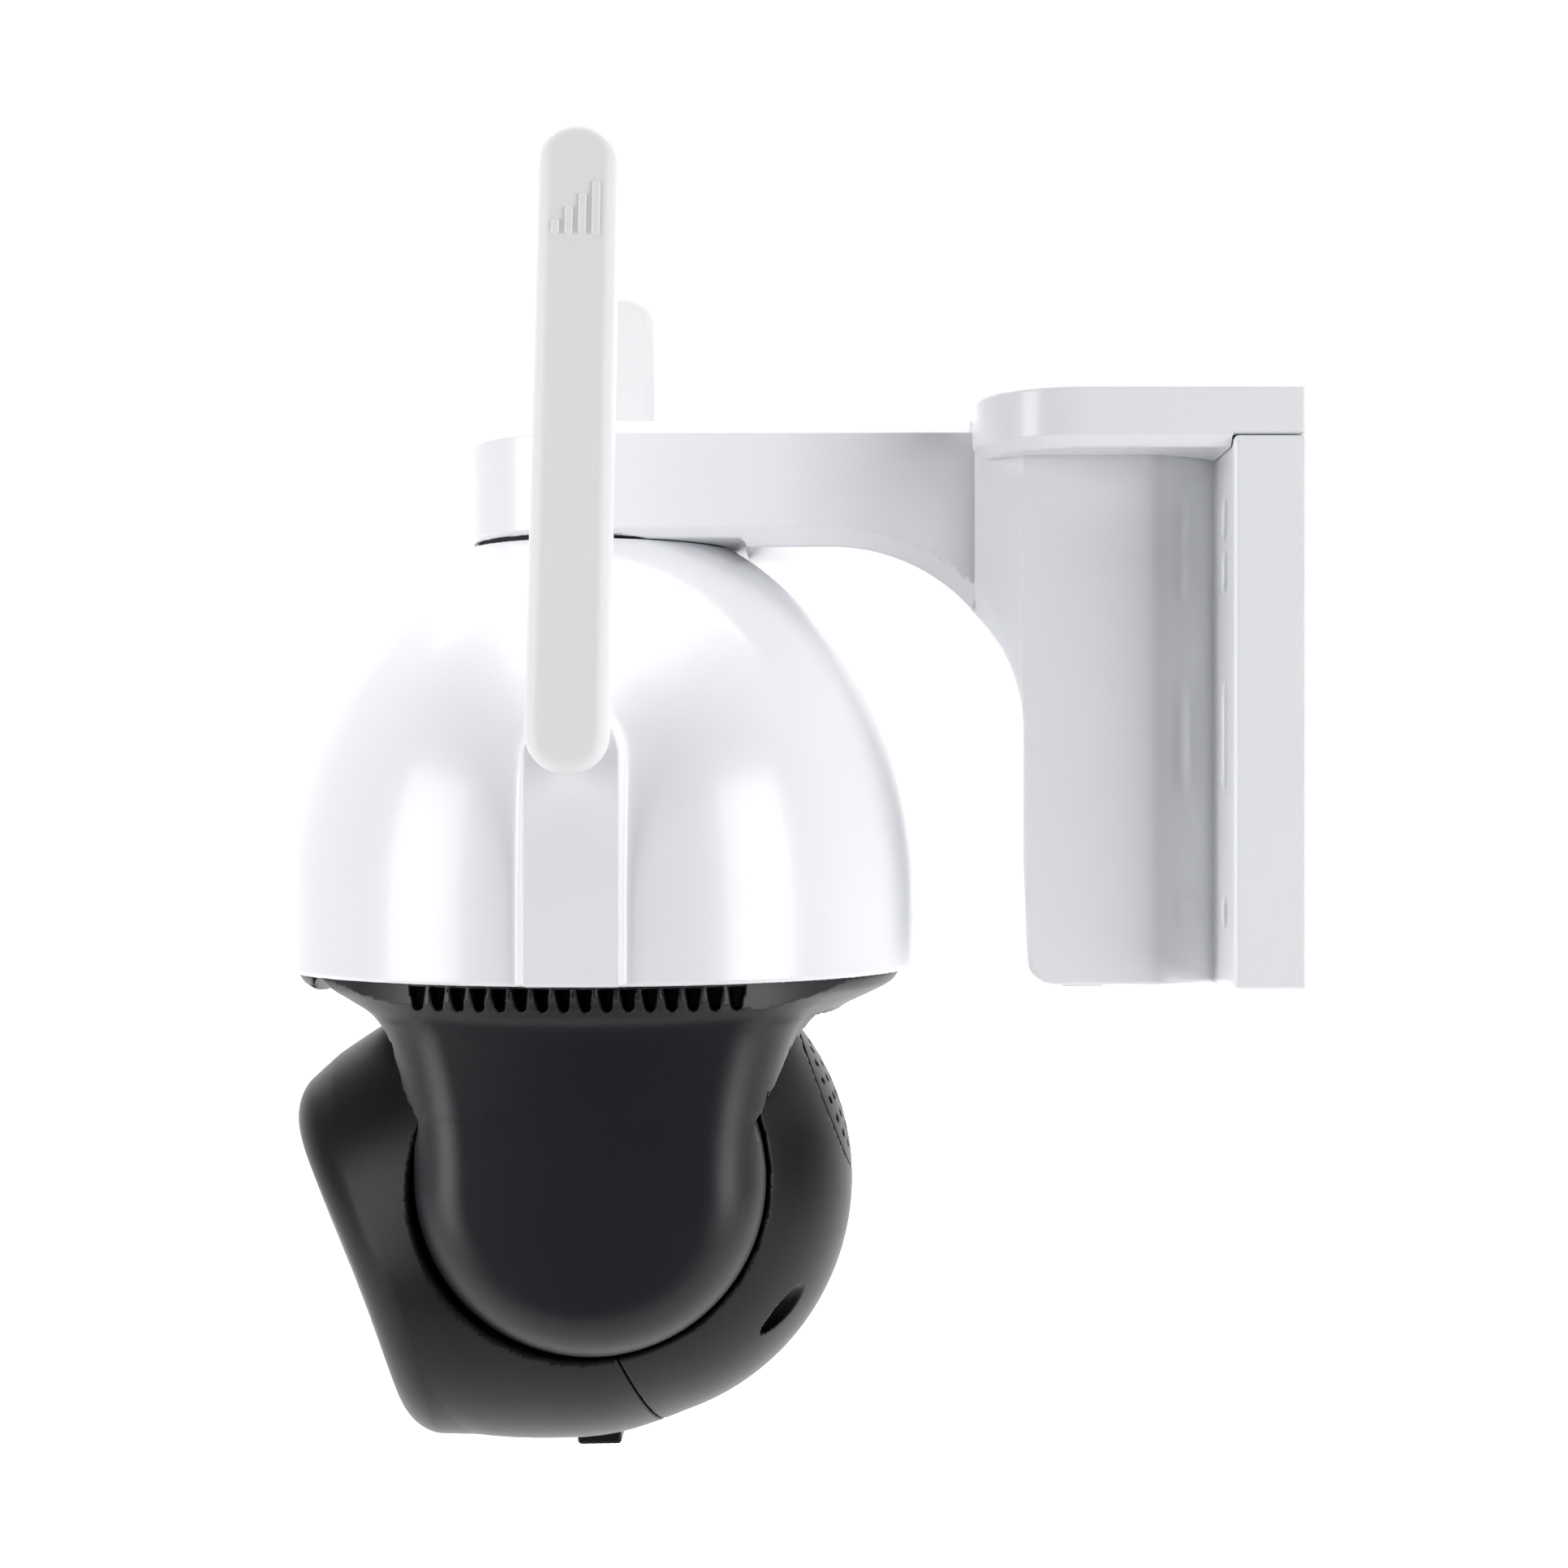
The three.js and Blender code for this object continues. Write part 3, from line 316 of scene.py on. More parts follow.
def cell_quads(inside, number):
    """A quad round every grid edge that the surface crosses, wound to face outward."""
    quads = []
    for axis in range(3):
        across = [0 if n == axis else 1 for n in range(3)]
        u, v = np.flatnonzero(across)
        low = [slice(1, n - 1) for n in inside.shape]
        low[axis] = slice(0, inside.shape[axis] - 1)
        high = list(low)
        high[axis] = slice(1, inside.shape[axis])
        starts, ends = inside[tuple(low)], inside[tuple(high)]
        edges = np.argwhere(starts != ends)
        leaving = starts[tuple(edges.T)]
        ring = []
        for du, dv in ((1, 1), (0, 1), (0, 0), (1, 0)):
            cell = edges + across
            cell[:, u] -= du
            cell[:, v] -= dv
            ring.append(number[tuple(cell.T)])
        ring = np.stack(ring, 1)
        flip = leaving if axis == 1 else ~leaving
        ring[flip] = ring[flip][:, ::-1]
        quads.append(ring)
    return np.concatenate(quads)


def slope_at(distance, points):
    """The gradient of the distance, by central differences."""
    parts = []
    for axis in range(3):
        step = np.zeros(3)
        step[axis] = SLOPE_STEP
        rise = distance(*(points + step).T) - distance(*(points - step).T)
        parts.append(rise / (2 * SLOPE_STEP))
    return np.stack(parts, 1)


def moved_onto(distance, points):
    """Moves points onto the surface by a few Newton steps of limited length."""
    for _ in range(NEWTON_STEPS):
        slope = slope_at(distance, points)
        steepness = np.maximum((slope * slope).sum(1), LEAST_STEEPNESS)
        move = distance(*points.T)[:, None] * slope / steepness[:, None]
        length = np.linalg.norm(move, axis=1, keepdims=True)
        points = points - move * np.minimum(1, LONGEST_MOVE / np.maximum(length, TINY))
    return points


def surface(distance, xs, ys, zs):
    """Vertices, outward normals and quads of the surface where distance(x, y, z) is nought."""
    grid = np.meshgrid(xs, ys, zs, indexing="ij")
    field = distance(*grid)
    inside = field < 0
    count = sum(at_corner(inside, offset).astype(int) for offset in CORNERS)
    active = (count > 0) & (count < len(CORNERS))
    number = np.full(active.shape, -1)
    number[active] = np.arange(active.sum())
    points = moved_onto(distance, crossing_means(field, grid, active))
    normals = slope_at(distance, points)
    normals /= np.maximum(np.linalg.norm(normals, axis=1), TINY)[:, None]
    return points, normals, cell_quads(inside, number)


def turned(points, angle):
    """Turns points by an angle about the Y axis."""
    c, s = math.cos(angle), math.sin(angle)
    x, y, z = points.T
    return np.stack([x * c + z * s, y, z * c - x * s], 1)


def placed_in_camera(points):
    return points + ORIGIN


def placed_in_head(points):
    """Turns head-frame points down by the head's pitch about the tilt axis."""
    return turned(points, -HEAD_PITCH) + TILT + ORIGIN


def turned_only(vectors, place):
    """Turns directions as place turns points, without moving them."""
    return place(vectors) - place(np.zeros_like(vectors))


def shell_mesh(name, distance, xs, ys, zs, finish, place=placed_in_camera, mirrored=False):
    """Makes the piece called name from a distance, with normals taken from the distance itself."""
    points, normals, quads = surface(distance, xs, ys, zs)
    if mirrored:
        quads = quads[:, ::-1]
    mesh = bpy.data.meshes.new(name)
    mesh.from_pydata((place(points) * MM).tolist(), [], quads.tolist())
    mesh.validate()
    mesh.shade_smooth()
    mesh.normals_split_custom_set_from_vertices(turned_only(normals, place).tolist())
    piece = bpy.data.objects.new(name, mesh)
    bpy.context.scene.collection.objects.link(piece)
    mesh.materials.append(finish)
    return piece


def settle(piece, body, slot, *nodes):
    """Rides the piece on its body and hides the CAD nodes that it stands for; slot is not used."""
    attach(piece, body)
    if nodes:
        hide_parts(*nodes)


# ---- Materials ----


def material(name, color, roughness, **sockets):
    """A Principled material. An underscore in a socket's name stands for a space."""
    made = bpy.data.materials.new(name)
    made.use_nodes = True
    shader = made.node_tree.nodes["Principled BSDF"]
    shader.inputs["Base Color"].default_value = (*color, 1)
    shader.inputs["Roughness"].default_value = roughness
    for socket, value in sockets.items():
        shader.inputs[socket.replace("_", " ")].default_value = value
    return made


def node(made, kind, **inputs):
    """Adds a shader node to a material."""
    added = made.node_tree.nodes.new(kind)
    for socket, value in inputs.items():
        added.inputs[socket.replace("_", " ")].default_value = value
    return added


def drive(made, source, socket):
    """Drives a socket of the material's shader by a node's output."""
    made.node_tree.links.new(source, made.node_tree.nodes["Principled BSDF"].inputs[socket])


def place_noise(made, scale, **inputs):
    """A noise texture in object space, whose unit is the metre."""
    texture = node(made, "ShaderNodeTexNoise", Scale=scale, **inputs)
    coordinates = node(made, "ShaderNodeTexCoord")
    made.node_tree.links.new(coordinates.outputs["Object"], texture.inputs["Vector"])
    return texture.outputs["Fac"]


def vary(made, socket, noise, low, high):
    """Drives a number socket between low and high by a noise."""
    spread = node(made, "ShaderNodeMapRange", From_Min=0.1, From_Max=0.9, To_Min=low, To_Max=high)
    made.node_tree.links.new(noise, spread.inputs["Value"])
    drive(made, spread.outputs["Result"], socket)


def vary_color(made, noise, first, second):
    """Drives the base colour between two colours by a noise."""
    ramp = node(made, "ShaderNodeValToRGB")
    for element, at, color in zip(ramp.color_ramp.elements, (0.15, 0.85), (first, second)):
        element.position = at
        element.color = (*color, 1)
    made.node_tree.links.new(noise, ramp.inputs["Fac"])
    drive(made, ramp.outputs["Color"], "Base Color")


def bump(made, noise, depth_mm):
    """Raises the surface by a noise."""
    ridge = node(made, "ShaderNodeBump", Strength=1.0, Distance=depth_mm * MM)
    made.node_tree.links.new(noise, ridge.inputs["Height"])
    drive(made, ridge.outputs["Normal"], "Normal")


def grained(name, color, other, roughness, rougher, grain_scale, grain_depth, **sockets):
    """A finish with a fine grain, slow colour drift and patches of slightly different gloss."""
    made = material(name, color, roughness, **sockets)
    vary_color(made, place_noise(made, 38, Detail=3.0, Roughness=0.55), color, other)
    vary(made, "Roughness", place_noise(made, 60, Detail=3.0, Roughness=0.5), roughness, rougher)
    bump(made, place_noise(made, grain_scale, Detail=2.0, Roughness=0.5), grain_depth)
    return made


WHITE = grained("white_gloss", (0.79, 0.80, 0.83), (0.81, 0.82, 0.845), 0.27, 0.31, 900, 0.003,
                Coat_Weight=0.25, Coat_Roughness=0.12)
WHITE_SATIN = grained("white_satin", (0.77, 0.77, 0.785), (0.79, 0.79, 0.80), 0.44, 0.5, 1500, 0.008)
BLACK_YOKE = grained("black_grained", (0.0085, 0.0095, 0.012), (0.011, 0.012, 0.015), 0.37, 0.42, 1900,
                     0.014, Specular_IOR_Level=0.34)
BLACK_HEAD = grained("black_satin", (0.007, 0.0075, 0.009), (0.009, 0.0095, 0.0115), 0.34, 0.4, 2600,
                     0.006, Specular_IOR_Level=0.17)
BLACK_INNER = grained("black_inner", (0.02, 0.02, 0.022), (0.028, 0.028, 0.03), 0.55, 0.68, 1500, 0.03)
NYLON = grained("nylon", (0.72, 0.68, 0.56), (0.76, 0.72, 0.61), 0.42, 0.55, 900, 0.02,
                Subsurface_Weight=0.1, Subsurface_Radius=(0.002, 0.0015, 0.001))
RUBBER = grained("rubber", (0.02, 0.02, 0.02), (0.03, 0.03, 0.03), 0.75, 0.88, 1200, 0.04)
STEEL = grained("steel", (0.55, 0.56, 0.57), (0.62, 0.63, 0.64), 0.26, 0.4, 2200, 0.01, Metallic=1.0)
DARK_STEEL = grained("dark_steel", (0.02, 0.02, 0.022), (0.03, 0.03, 0.032), 0.4, 0.5, 2200, 0.01,
                     Metallic=0.6)
BOARD = grained("board", (0.012, 0.09, 0.045), (0.02, 0.13, 0.06), 0.35, 0.5, 700, 0.03)
LAMP = grained("lamp", (0.85, 0.78, 0.42), (0.9, 0.84, 0.55), 0.12, 0.2, 1200, 0.01, Coat_Weight=0.6)
MASK = grained("window_mask", (0.006, 0.0065, 0.008), (0.009, 0.0095, 0.011), 0.05, 0.09, 600, 0.003,
               Coat_Weight=0.5, Coat_Roughness=0.03)
GLASS = grained("lens_glass", (0.10, 0.06, 0.16), (0.05, 0.10, 0.16), 0.03, 0.06, 500, 0.002,
                Coat_Weight=1.0, Coat_Roughness=0.02, IOR=1.6)
PAPER = grained("studio_paper", (0.93, 0.93, 0.93), (0.94, 0.94, 0.94), 0.9, 0.95, 200, 0.01)
CLEAR = material("clear_glass", (0.9, 0.93, 0.95), 0.02, Transmission_Weight=1.0, IOR=1.46)
vary(CLEAR, "Roughness", place_noise(CLEAR, 300, Detail=2.0), 0.015, 0.035)

CAD_FINISH = {
    "white_gloss": WHITE, "white_satin": WHITE_SATIN, "black_satin": BLACK_HEAD, "black_inner": BLACK_INNER,
    "nylon": NYLON, "steel": STEEL, "rubber": RUBBER, "board": BOARD, "window": MASK, "lens_glass": GLASS,
    "lamp": LAMP,
}


def finish_cad_nodes():
    """Gives every CAD node its procedural finish."""
    slots = {row["node"]: row["material_slot"] for row in frame["record"]["subparts"]}
    for name, piece in frame["nodes"].items():
        finish = DARK_STEEL if name.startswith("head_screw") else CAD_FINISH[slots[name]]
        if not piece.material_slots:
            piece.data.materials.append(finish)
        for place in piece.material_slots:
            place.material = finish


# ---- Dome ----


def dome_solid(x, y, z, inset=0.0):
    """The dome without its pilasters: a drafted skirt under a half ellipsoid."""
    a, b = DOME_R - inset, DOME_RISE - inset
    r = np.hypot(x, y)
    h = np.maximum(z - DOME_EQUATOR, 0)
    q = np.sqrt((r / a) ** 2 + (h / b) ** 2) + TINY
    ellipsoid = (q - 1) * q / np.sqrt((r / a**2) ** 2 + (h / b**2) ** 2 + TINY**2)
    draft = (DOME_RIM_R - DOME_R) * np.clip((DOME_EQUATOR - z) / DOME_EQUATOR, 0, 1)
    return np.where(z > DOME_EQUATOR, ellipsoid, r - a - draft)


def dome(x, y, z):
    """The white shell with a flat pilaster on each side, whose top is round."""
    outline = np.hypot(x, np.maximum(z - (PIVOT_Z - PILASTER_DROP), 0)) - PILASTER_HALF
    pilaster = smooth_max(outline, np.abs(y) - PILASTER_FACE, 0.7)
    pilaster = np.maximum(pilaster, PILASTER_ROOT - np.abs(y))
    body = smooth_min(dome_solid(x, y, z), pilaster, PILASTER_FILLET)
    body = round_max(body, z - DOME_TOP, 0.2)
    body = round_max(body, -z, RIM_EDGE_R)
    inside = np.maximum(dome_solid(x, y, z, SHELL), z - (DOME_TOP - SHELL))
    body = np.maximum(body, -inside)
    return side_bore(body, x, y, z - PIVOT_Z, PIN_BORE_R, PILASTER_ROOT)


def make_dome():
    edge = DOME_RIM_R + 2
    xs = steps(-edge, edge, 1.25, *both_sides(PILASTER_HALF - 0.95, PILASTER_HALF + 1.25, 0.4))
    ys = steps(-edge - 1, edge + 1, 1.25)
    zs = steps(-2, DOME_TOP + 2, 1.25, (-1.5, 1.5, 0.5))
    piece = shell_mesh("dome", dome, xs, ys, zs, WHITE)
    settle(piece, "root", "white_gloss", "dome_shell")


# ---- Bracket ----


def side_half(x):
    """Half the width of the bracket along X: arm, slanted neck, column and valley."""
    slant = np.clip((x - NECK_START) / (NECK_END - NECK_START), 0, 1)
    t = np.clip((x - VALLEY_START) / (FLANGE_X - VALLEY_START), 0, 1)
    hollow = (COLUMN_HALF - VALLEY_HALF) * (1 - np.cos(t * math.pi / 2)) ** 1.1
    return CAP_R + (COLUMN_HALF - CAP_R) * slant - hollow


def bracket_profile(x, y, z):
    """Arm, web and column as one solid: sides, arch, top and bottom."""
    slope = np.where((x > NECK_START) & (x < NECK_END), 0.72, 1.0)
    plan = np.where(x < 0, np.hypot(x, y) - CAP_R, (np.abs(y) - side_half(x)) * slope)
    flare = ARCH_FLARE * np.clip((FLARE_TOP - z) / FLARE_HEIGHT, 0, 1)
    arch = corner(x - ARCH_X, z - ARCH_Z) - ARCH_R - flare
    low_chamfer = ARCH_CHAMFER * np.clip((NECK_END + 2 - x) / 10, 0.15, 1)
    body = np.maximum(np.maximum(plan, -arch), (plan - arch + low_chamfer) * math.sqrt(0.5))
    body = chamfer_max(body, z - np.where(x > NECK_START + 3, HOOD_BOTTOM + 1.5, ARM_TOP), TOP_CHAMFER)
    body = smooth_max(body, round_max(BRACKET_BOTTOM - z, -arch, FOOT_R), 0.8)
    return np.maximum(body, x - WALL_X + 2)


def bracket(x, y, z):
    """The bracket moulding with its flange, its cable way, the pockets in its back and its screw slots."""
    p = (x, y, z)
    flange = block(p, (FLANGE_X, -FLANGE_HALF, BRACKET_BOTTOM), (WALL_X + 4, FLANGE_HALF, HOOD_BOTTOM),
                   FLANGE_EDGE_R)
    flange = smooth_max(flange, x - WALL_X, 0.6)
    body = smooth_min(bracket_profile(x, y, z), flange, FLANGE_FILLET)
    # The cap sits over the dome's top.
    body = cut(body, dome_solid(x, y, z, -CAP_GAP), 0.15)
    body = np.maximum(body, np.where(x < CAP_R + 2.6, DOME_TOP + CAP_GAP - z, -9))
    back = WALL_X + 9
    for low, high in (((-14, -CABLE_HALF, 85), (82, CABLE_HALF, 94.5)),
                      ((79.5, -POCKET_HALF, MID_Z + 5), (back, POCKET_HALF, 92)),
                      ((84, -POCKET_HALF, BRACKET_BOTTOM + 4), (back, POCKET_HALF, MID_Z - 5))):
        body = cut(body, block(p, low, high, HOLLOW_EDGE_R))
    for low, high in SLOT_HEIGHTS:
        past = np.maximum(np.maximum(low + SLOT_R - z, z - high + SLOT_R), 0)
        slot = np.hypot(np.abs(y) - SLOT_Y, past) - SLOT_R
        body = cut(body, np.maximum(slot, slab(x, FLANGE_X - 4, WALL_X + 2)), 0.5)
    return body


def make_bracket():
    xs = steps(-CAP_R - 2, WALL_X + 1.5, 1.0, (NECK_START - 1, NECK_START + 1, 0.5),
               (NECK_END - 1.5, NECK_END + 1.5, 0.5), (FLANGE_X - 1.5, FLANGE_X + 2, 0.5),
               (WALL_X - 1, WALL_X + 1, 0.5))
    ys = steps(-FLANGE_HALF - 1.5, FLANGE_HALF + 1.5, 1.0, *both_sides(CAP_R - 3.6, CAP_R + 0.6, 0.6),
               *both_sides(SLOT_Y - 3.5, SLOT_Y + 3.5, 0.6),
               *both_sides(FLANGE_HALF - 1, FLANGE_HALF + 0.5, 0.5))
    zs = steps(BRACKET_BOTTOM - 1.5, ARM_TOP + 2, 1.0, (BRACKET_BOTTOM - 0.5, BRACKET_BOTTOM + 1.5, 0.5),
               (ARM_BOTTOM - 0.5, ARM_BOTTOM + 3.5, 0.6), (ARM_TOP - 3, ARM_TOP + 0.5, 0.6))
    piece = shell_mesh("bracket", bracket, xs, ys, zs, WHITE)
    settle(piece, "root", "white_gloss", "bracket_body")


def hood(x, y, z):
    """Cover plate with round front corners; its lower edge is bevelled back to the column."""
    plan = corner(HOOD_FRONT + HOOD_CORNER - x, np.abs(y) - (FLANGE_HALF - HOOD_CORNER)) - HOOD_CORNER
    plan = round_max(plan, x - WALL_X, 0.6)
    top = round_max(plan, z - HOOD_TOP, 0.7)
    plate = chamfer_max(top, HOOD_BOTTOM - HOOD_LIP - z, HOOD_BEVEL)
    # Room for the flange, the arm and the column under the plate.
    plate = np.maximum(plate, -np.maximum(FLANGE_X - 0.2 - x, z - HOOD_BOTTOM - 0.12))
    column = np.maximum(np.abs(y) - side_half(x) - 0.05, z - HOOD_BOTTOM - 1.7)
    arm = np.maximum(np.maximum(np.abs(y) - CAP_R - 0.1, x - NECK_START - 3.1), z - ARM_TOP - 0.1)
    return np.maximum(plate, -np.minimum(column, arm))


def make_hood():
    xs = steps(HOOD_FRONT - 1.5, WALL_X + 1.5, 1.1, (WALL_X - 1, WALL_X + 1, 0.5),
               (FLANGE_X - 1, FLANGE_X + 1, 0.4))
    ys = steps(-FLANGE_HALF - 1.5, FLANGE_HALF + 1.5, 1.1,
               *both_sides(FLANGE_HALF - 2, FLANGE_HALF + 0.5, 0.5))
    zs = steps(HOOD_BOTTOM - 3.5, HOOD_TOP + 1.5, 0.5)
    piece = shell_mesh("hood", hood, xs, ys, zs, WHITE)
    settle(piece, "root", "white_gloss", "bracket_hood")


# ---- Turntable and yoke ----

RING_EDGE = through_curve([[-26, 41.2], [-19, 41.6], [-14, 42.3], [-11.1, 43.2], [-9.2, 44.5], [-6.9, 47.1],
                           [-4.6, 51.9], [-2.4, 55.9], [-1.2, TURNTABLE_R - 0.2], [2, TURNTABLE_R]])


def yoke_outline(x, z):
    """A yoke arm from the side: a round end about the tilt axis under a neck that widens upwards."""
    dx, dz = x - TILT[0], z - TILT[2]
    widening = NECK_WIDENING * np.clip((dz - NECK_FROM) / NECK_HEIGHT, 0, 1.2) ** 2
    return np.where(dz < 0, np.hypot(dx, dz), np.abs(dx) - widening) - YOKE_DISC_R


def yoke_arm(x, y, z, inset=0.0):
    """Both arms as one solid: gently crowned faces with a well rounded edge."""
    dx, dz = x - TILT[0], z - TILT[2]
    crown = CROWN_ACROSS * (dx / YOKE_DISC_R) ** 2 + CROWN_BELOW * np.clip(-dz / YOKE_DISC_R, 0, 1) ** 2
    face = (np.abs(y) - YOKE_OUTER + crown + inset) * 0.97
    return round_max(yoke_outline(x, z) + inset, face, YOKE_EDGE_R - inset)


def vents(x, y, z):
    """Upright slots high on each arm, under the dome's rim."""
    index = np.clip(np.round(x / VENT_PITCH - 0.5), -VENT_COUNT / 2, VENT_COUNT / 2 - 1)
    across = np.abs(x - (index + 0.5) * VENT_PITCH)
    past = np.maximum(VENT_BOTTOM - z, 0)
    half_width = VENT_END_R + 0.15 * np.clip(z - VENT_BOTTOM + VENT_END_R, 0, 4)
    slot = np.maximum(np.hypot(across, past) - half_width, z - VENT_TOP)
    return np.maximum(slot, VENT_FROM_Y - np.abs(y))


def yoke(x, y, z):
    """Turntable and yoke in one: a flared ring, two arms and the hub on the pan axis."""
    r = np.hypot(x, y)
    dx, dz = x - TILT[0], z - TILT[2]
    from_tilt = np.hypot(dx, dz)
    ring = (r - RING_EDGE(z)) * 0.8
    arm = np.maximum(yoke_arm(x, y, z), YOKE_INNER - np.abs(y))
    body = smooth_min(np.maximum(ring, TURNTABLE_BOTTOM - z), np.maximum(arm, z), YOKE_FILLET)
    body = smooth_max(body, z - TURNTABLE_TOP, 0.8)
    body = np.maximum(body, r - TURNTABLE_R)
    # A round pocket for the head, under a bowl that closes it above the turntable.
    bowl = np.sqrt(x**2 + y**2 + dz**2) - POCKET_R - BOWL_WALL
    body = np.minimum(body, np.maximum(bowl, 0.5 - z))
    body = cut(body, np.maximum(np.hypot(from_tilt, y) - POCKET_R, np.abs(y) - POCKET_REACH), 0.6)
    # Relief for the snout under the front of the turntable.
    above = math.cos(RELIEF_ANGLE) * dz + math.sin(RELIEF_ANGLE) * dx
    relief = np.maximum(np.maximum(from_tilt - RELIEF_R, above), np.maximum(np.abs(y) - RELIEF_HALF, dx))
    body = cut(body, relief, 0.6)
    body = np.minimum(body, np.maximum(arm, from_tilt - YOKE_DISC_R))
    hollow = np.maximum(YOKE_INNER - 1 - np.abs(y), z + 9.5)
    body = cut(body, np.maximum(yoke_arm(x, y, z, YOKE_WALL), hollow), 0.3)
    body = cut(body, vents(x, y, z), 0.3)
    hub = np.maximum(slab(r, HUB_BORE_R, HUB_R), slab(z, HUB_BOTTOM, HUB_TOP))
    return np.minimum(np.maximum(body, HUB_BORE_R - r), hub)


def make_yoke():
    edge = TURNTABLE_R + 2
    xs = steps(-edge, edge, 1.25, (-30, 30, 0.42))
    ys = steps(-edge, edge, 1.25, *both_sides(YOKE_OUTER - 4, YOKE_OUTER + 4, 0.8))
    zs = steps(TILT[2] - YOKE_DISC_R - 2, HUB_TOP + 2, 1.25, (-9, 1.5, 0.5))
    piece = shell_mesh("yoke", yoke, xs, ys, zs, BLACK_YOKE)
    settle(piece, "pan", "black_satin", "turntable_yoke")


# ---- Head, in the head frame ----

HEAD_EDGE = through_curve([[-2, BALL_R], [0, BALL_R], [8, 46], [14, 45.7], [20, 44.7], [27, 42.9], [34, 40.8],
                           [42, 37.9], [48.5, 35.3], [56, 32]])


def from_lens_axis(y, z):
    return np.hypot(y, z - BALL_V)


def face_depth(x, y):
    """How far forward a point is, counted along the face, which curves back to both sides."""
    return -x - BALL_U + y**2 / (2 * FACE_CURVE_R)


def head_solid(x, y, z, inset=0.0):
    """The ball and snout, with a round pocket in each side for the yoke."""
    u = -x - BALL_U
    ball = np.hypot(u, from_lens_axis(y, z)) - BALL_R
    rise = SNOUT_RISE * np.clip((u - 5) / 35, 0, 1) ** 2
    snout = (from_lens_axis(y, z - rise) - HEAD_EDGE(u)) * 0.96
    body = np.where(u < 0, ball, snout) + inset
    body = round_max(body, face_depth(x, y) - FACE_U + inset, FACE_EDGE_R)
    recess = np.maximum(np.hypot(x, z) - RECESS_R - inset, RECESS_Y - inset - np.abs(y))
    return cut(body, recess, 0.9)


def head_shell(x, y, z):
    return np.maximum(head_solid(x, y, z), -head_solid(x, y, z, SHELL))


def rear_shell(x, y, z):
    """The back half, with four screw bosses and the round opening for the grille."""
    from_screw = np.hypot(np.abs(y) - SCREW_Y, np.abs(z - BALL_V) - SCREW_V)
    boss = np.maximum(np.maximum(from_screw - SCREW_BOSS_R, head_solid(x, y, z)), x - BOSS_BACK)
    shell = np.minimum(head_shell(x, y, z), boss)
    shell = smooth_max(shell, -x - SEAM_U - BALL_U + SEAM_GAP, 0.35)
    shell = cut(shell, np.maximum(from_screw - SCREW_HEAD_R, SCREW_SEAT_X - x), 0.4)
    shell = np.maximum(shell, SCREW_HOLE_R - from_screw)
    shell = cut(shell, np.maximum(from_lens_axis(y, z) - GRILLE_R - SEAM_GAP, GRILLE_X - x), 0.3)
    return side_bore(shell, x, y, z, TRUNNION_BORE_R, TRUNNION_ROOT)


def card_opening(x, y, z, gap):
    """The opening under the snout, larger by gap all round."""
    along = slab(x, -CARD_FRONT - gap, -CARD_FRONT + CARD_LENGTH + gap)
    return np.maximum(along, np.maximum(np.abs(y) - CARD_HALF - gap, z - CARD_TOP))


def front_shell(x, y, z):
    """The snout, open at the front for the window and underneath for the card cover."""
    shell = smooth_max(head_shell(x, y, z), x + SEAM_U + BALL_U + SEAM_GAP, 0.35)
    shell = cut(shell, np.maximum(from_lens_axis(y, z) - WINDOW_R - 0.15, x + 40), 0.5)
    shell = cut(shell, card_opening(x, y, z, 0.2), 0.3)
    return side_bore(shell, x, y, z, TRUNNION_BORE_R, TRUNNION_ROOT)


def card_cover(x, y, z):
    """A plate cut from the snout's skin, with a finger tab that stands square to the snout's slope."""
    plate = smooth_max(head_shell(x, y, z), card_opening(x, y, z, 0), 0.4)
    c, s = math.cos(TAB_ANGLE), math.sin(TAB_ANGLE)
    dx, dz = x - TAB_X, z - TAB_Z
    tab = block((dx * c - dz * s, y, dx * s + dz * c), (-4.2, -4.5, -0.8), (4.2, 4.5, 3), 0.7)
    tab = np.maximum(tab, -head_solid(x, y, z, SHELL))
    return smooth_min(plate, tab, 0.8)


def grille(x, y, z):
    """A round piece of the ball's skin with rings of small holes."""
    shell = smooth_max(head_shell(x, y, z), from_lens_axis(y, z) - GRILLE_R, 0.3)
    shell = np.maximum(shell, GRILLE_X - x)
    for ring, count in GRILLE_RINGS:
        for i in range(count):
            angle = 2 * math.pi * i / count
            hole = from_lens_axis(y - ring * math.cos(angle), z - ring * math.sin(angle)) - GRILLE_HOLE_R
            shell = np.maximum(shell, -np.maximum(hole, GRILLE_X - x))
    return shell


def make_head_piece(name, distance, xs, ys, zs, body, replaced):
    piece = shell_mesh(name, distance, xs, ys, zs, BLACK_HEAD, placed_in_head)
    settle(piece, body, "black_satin", replaced)


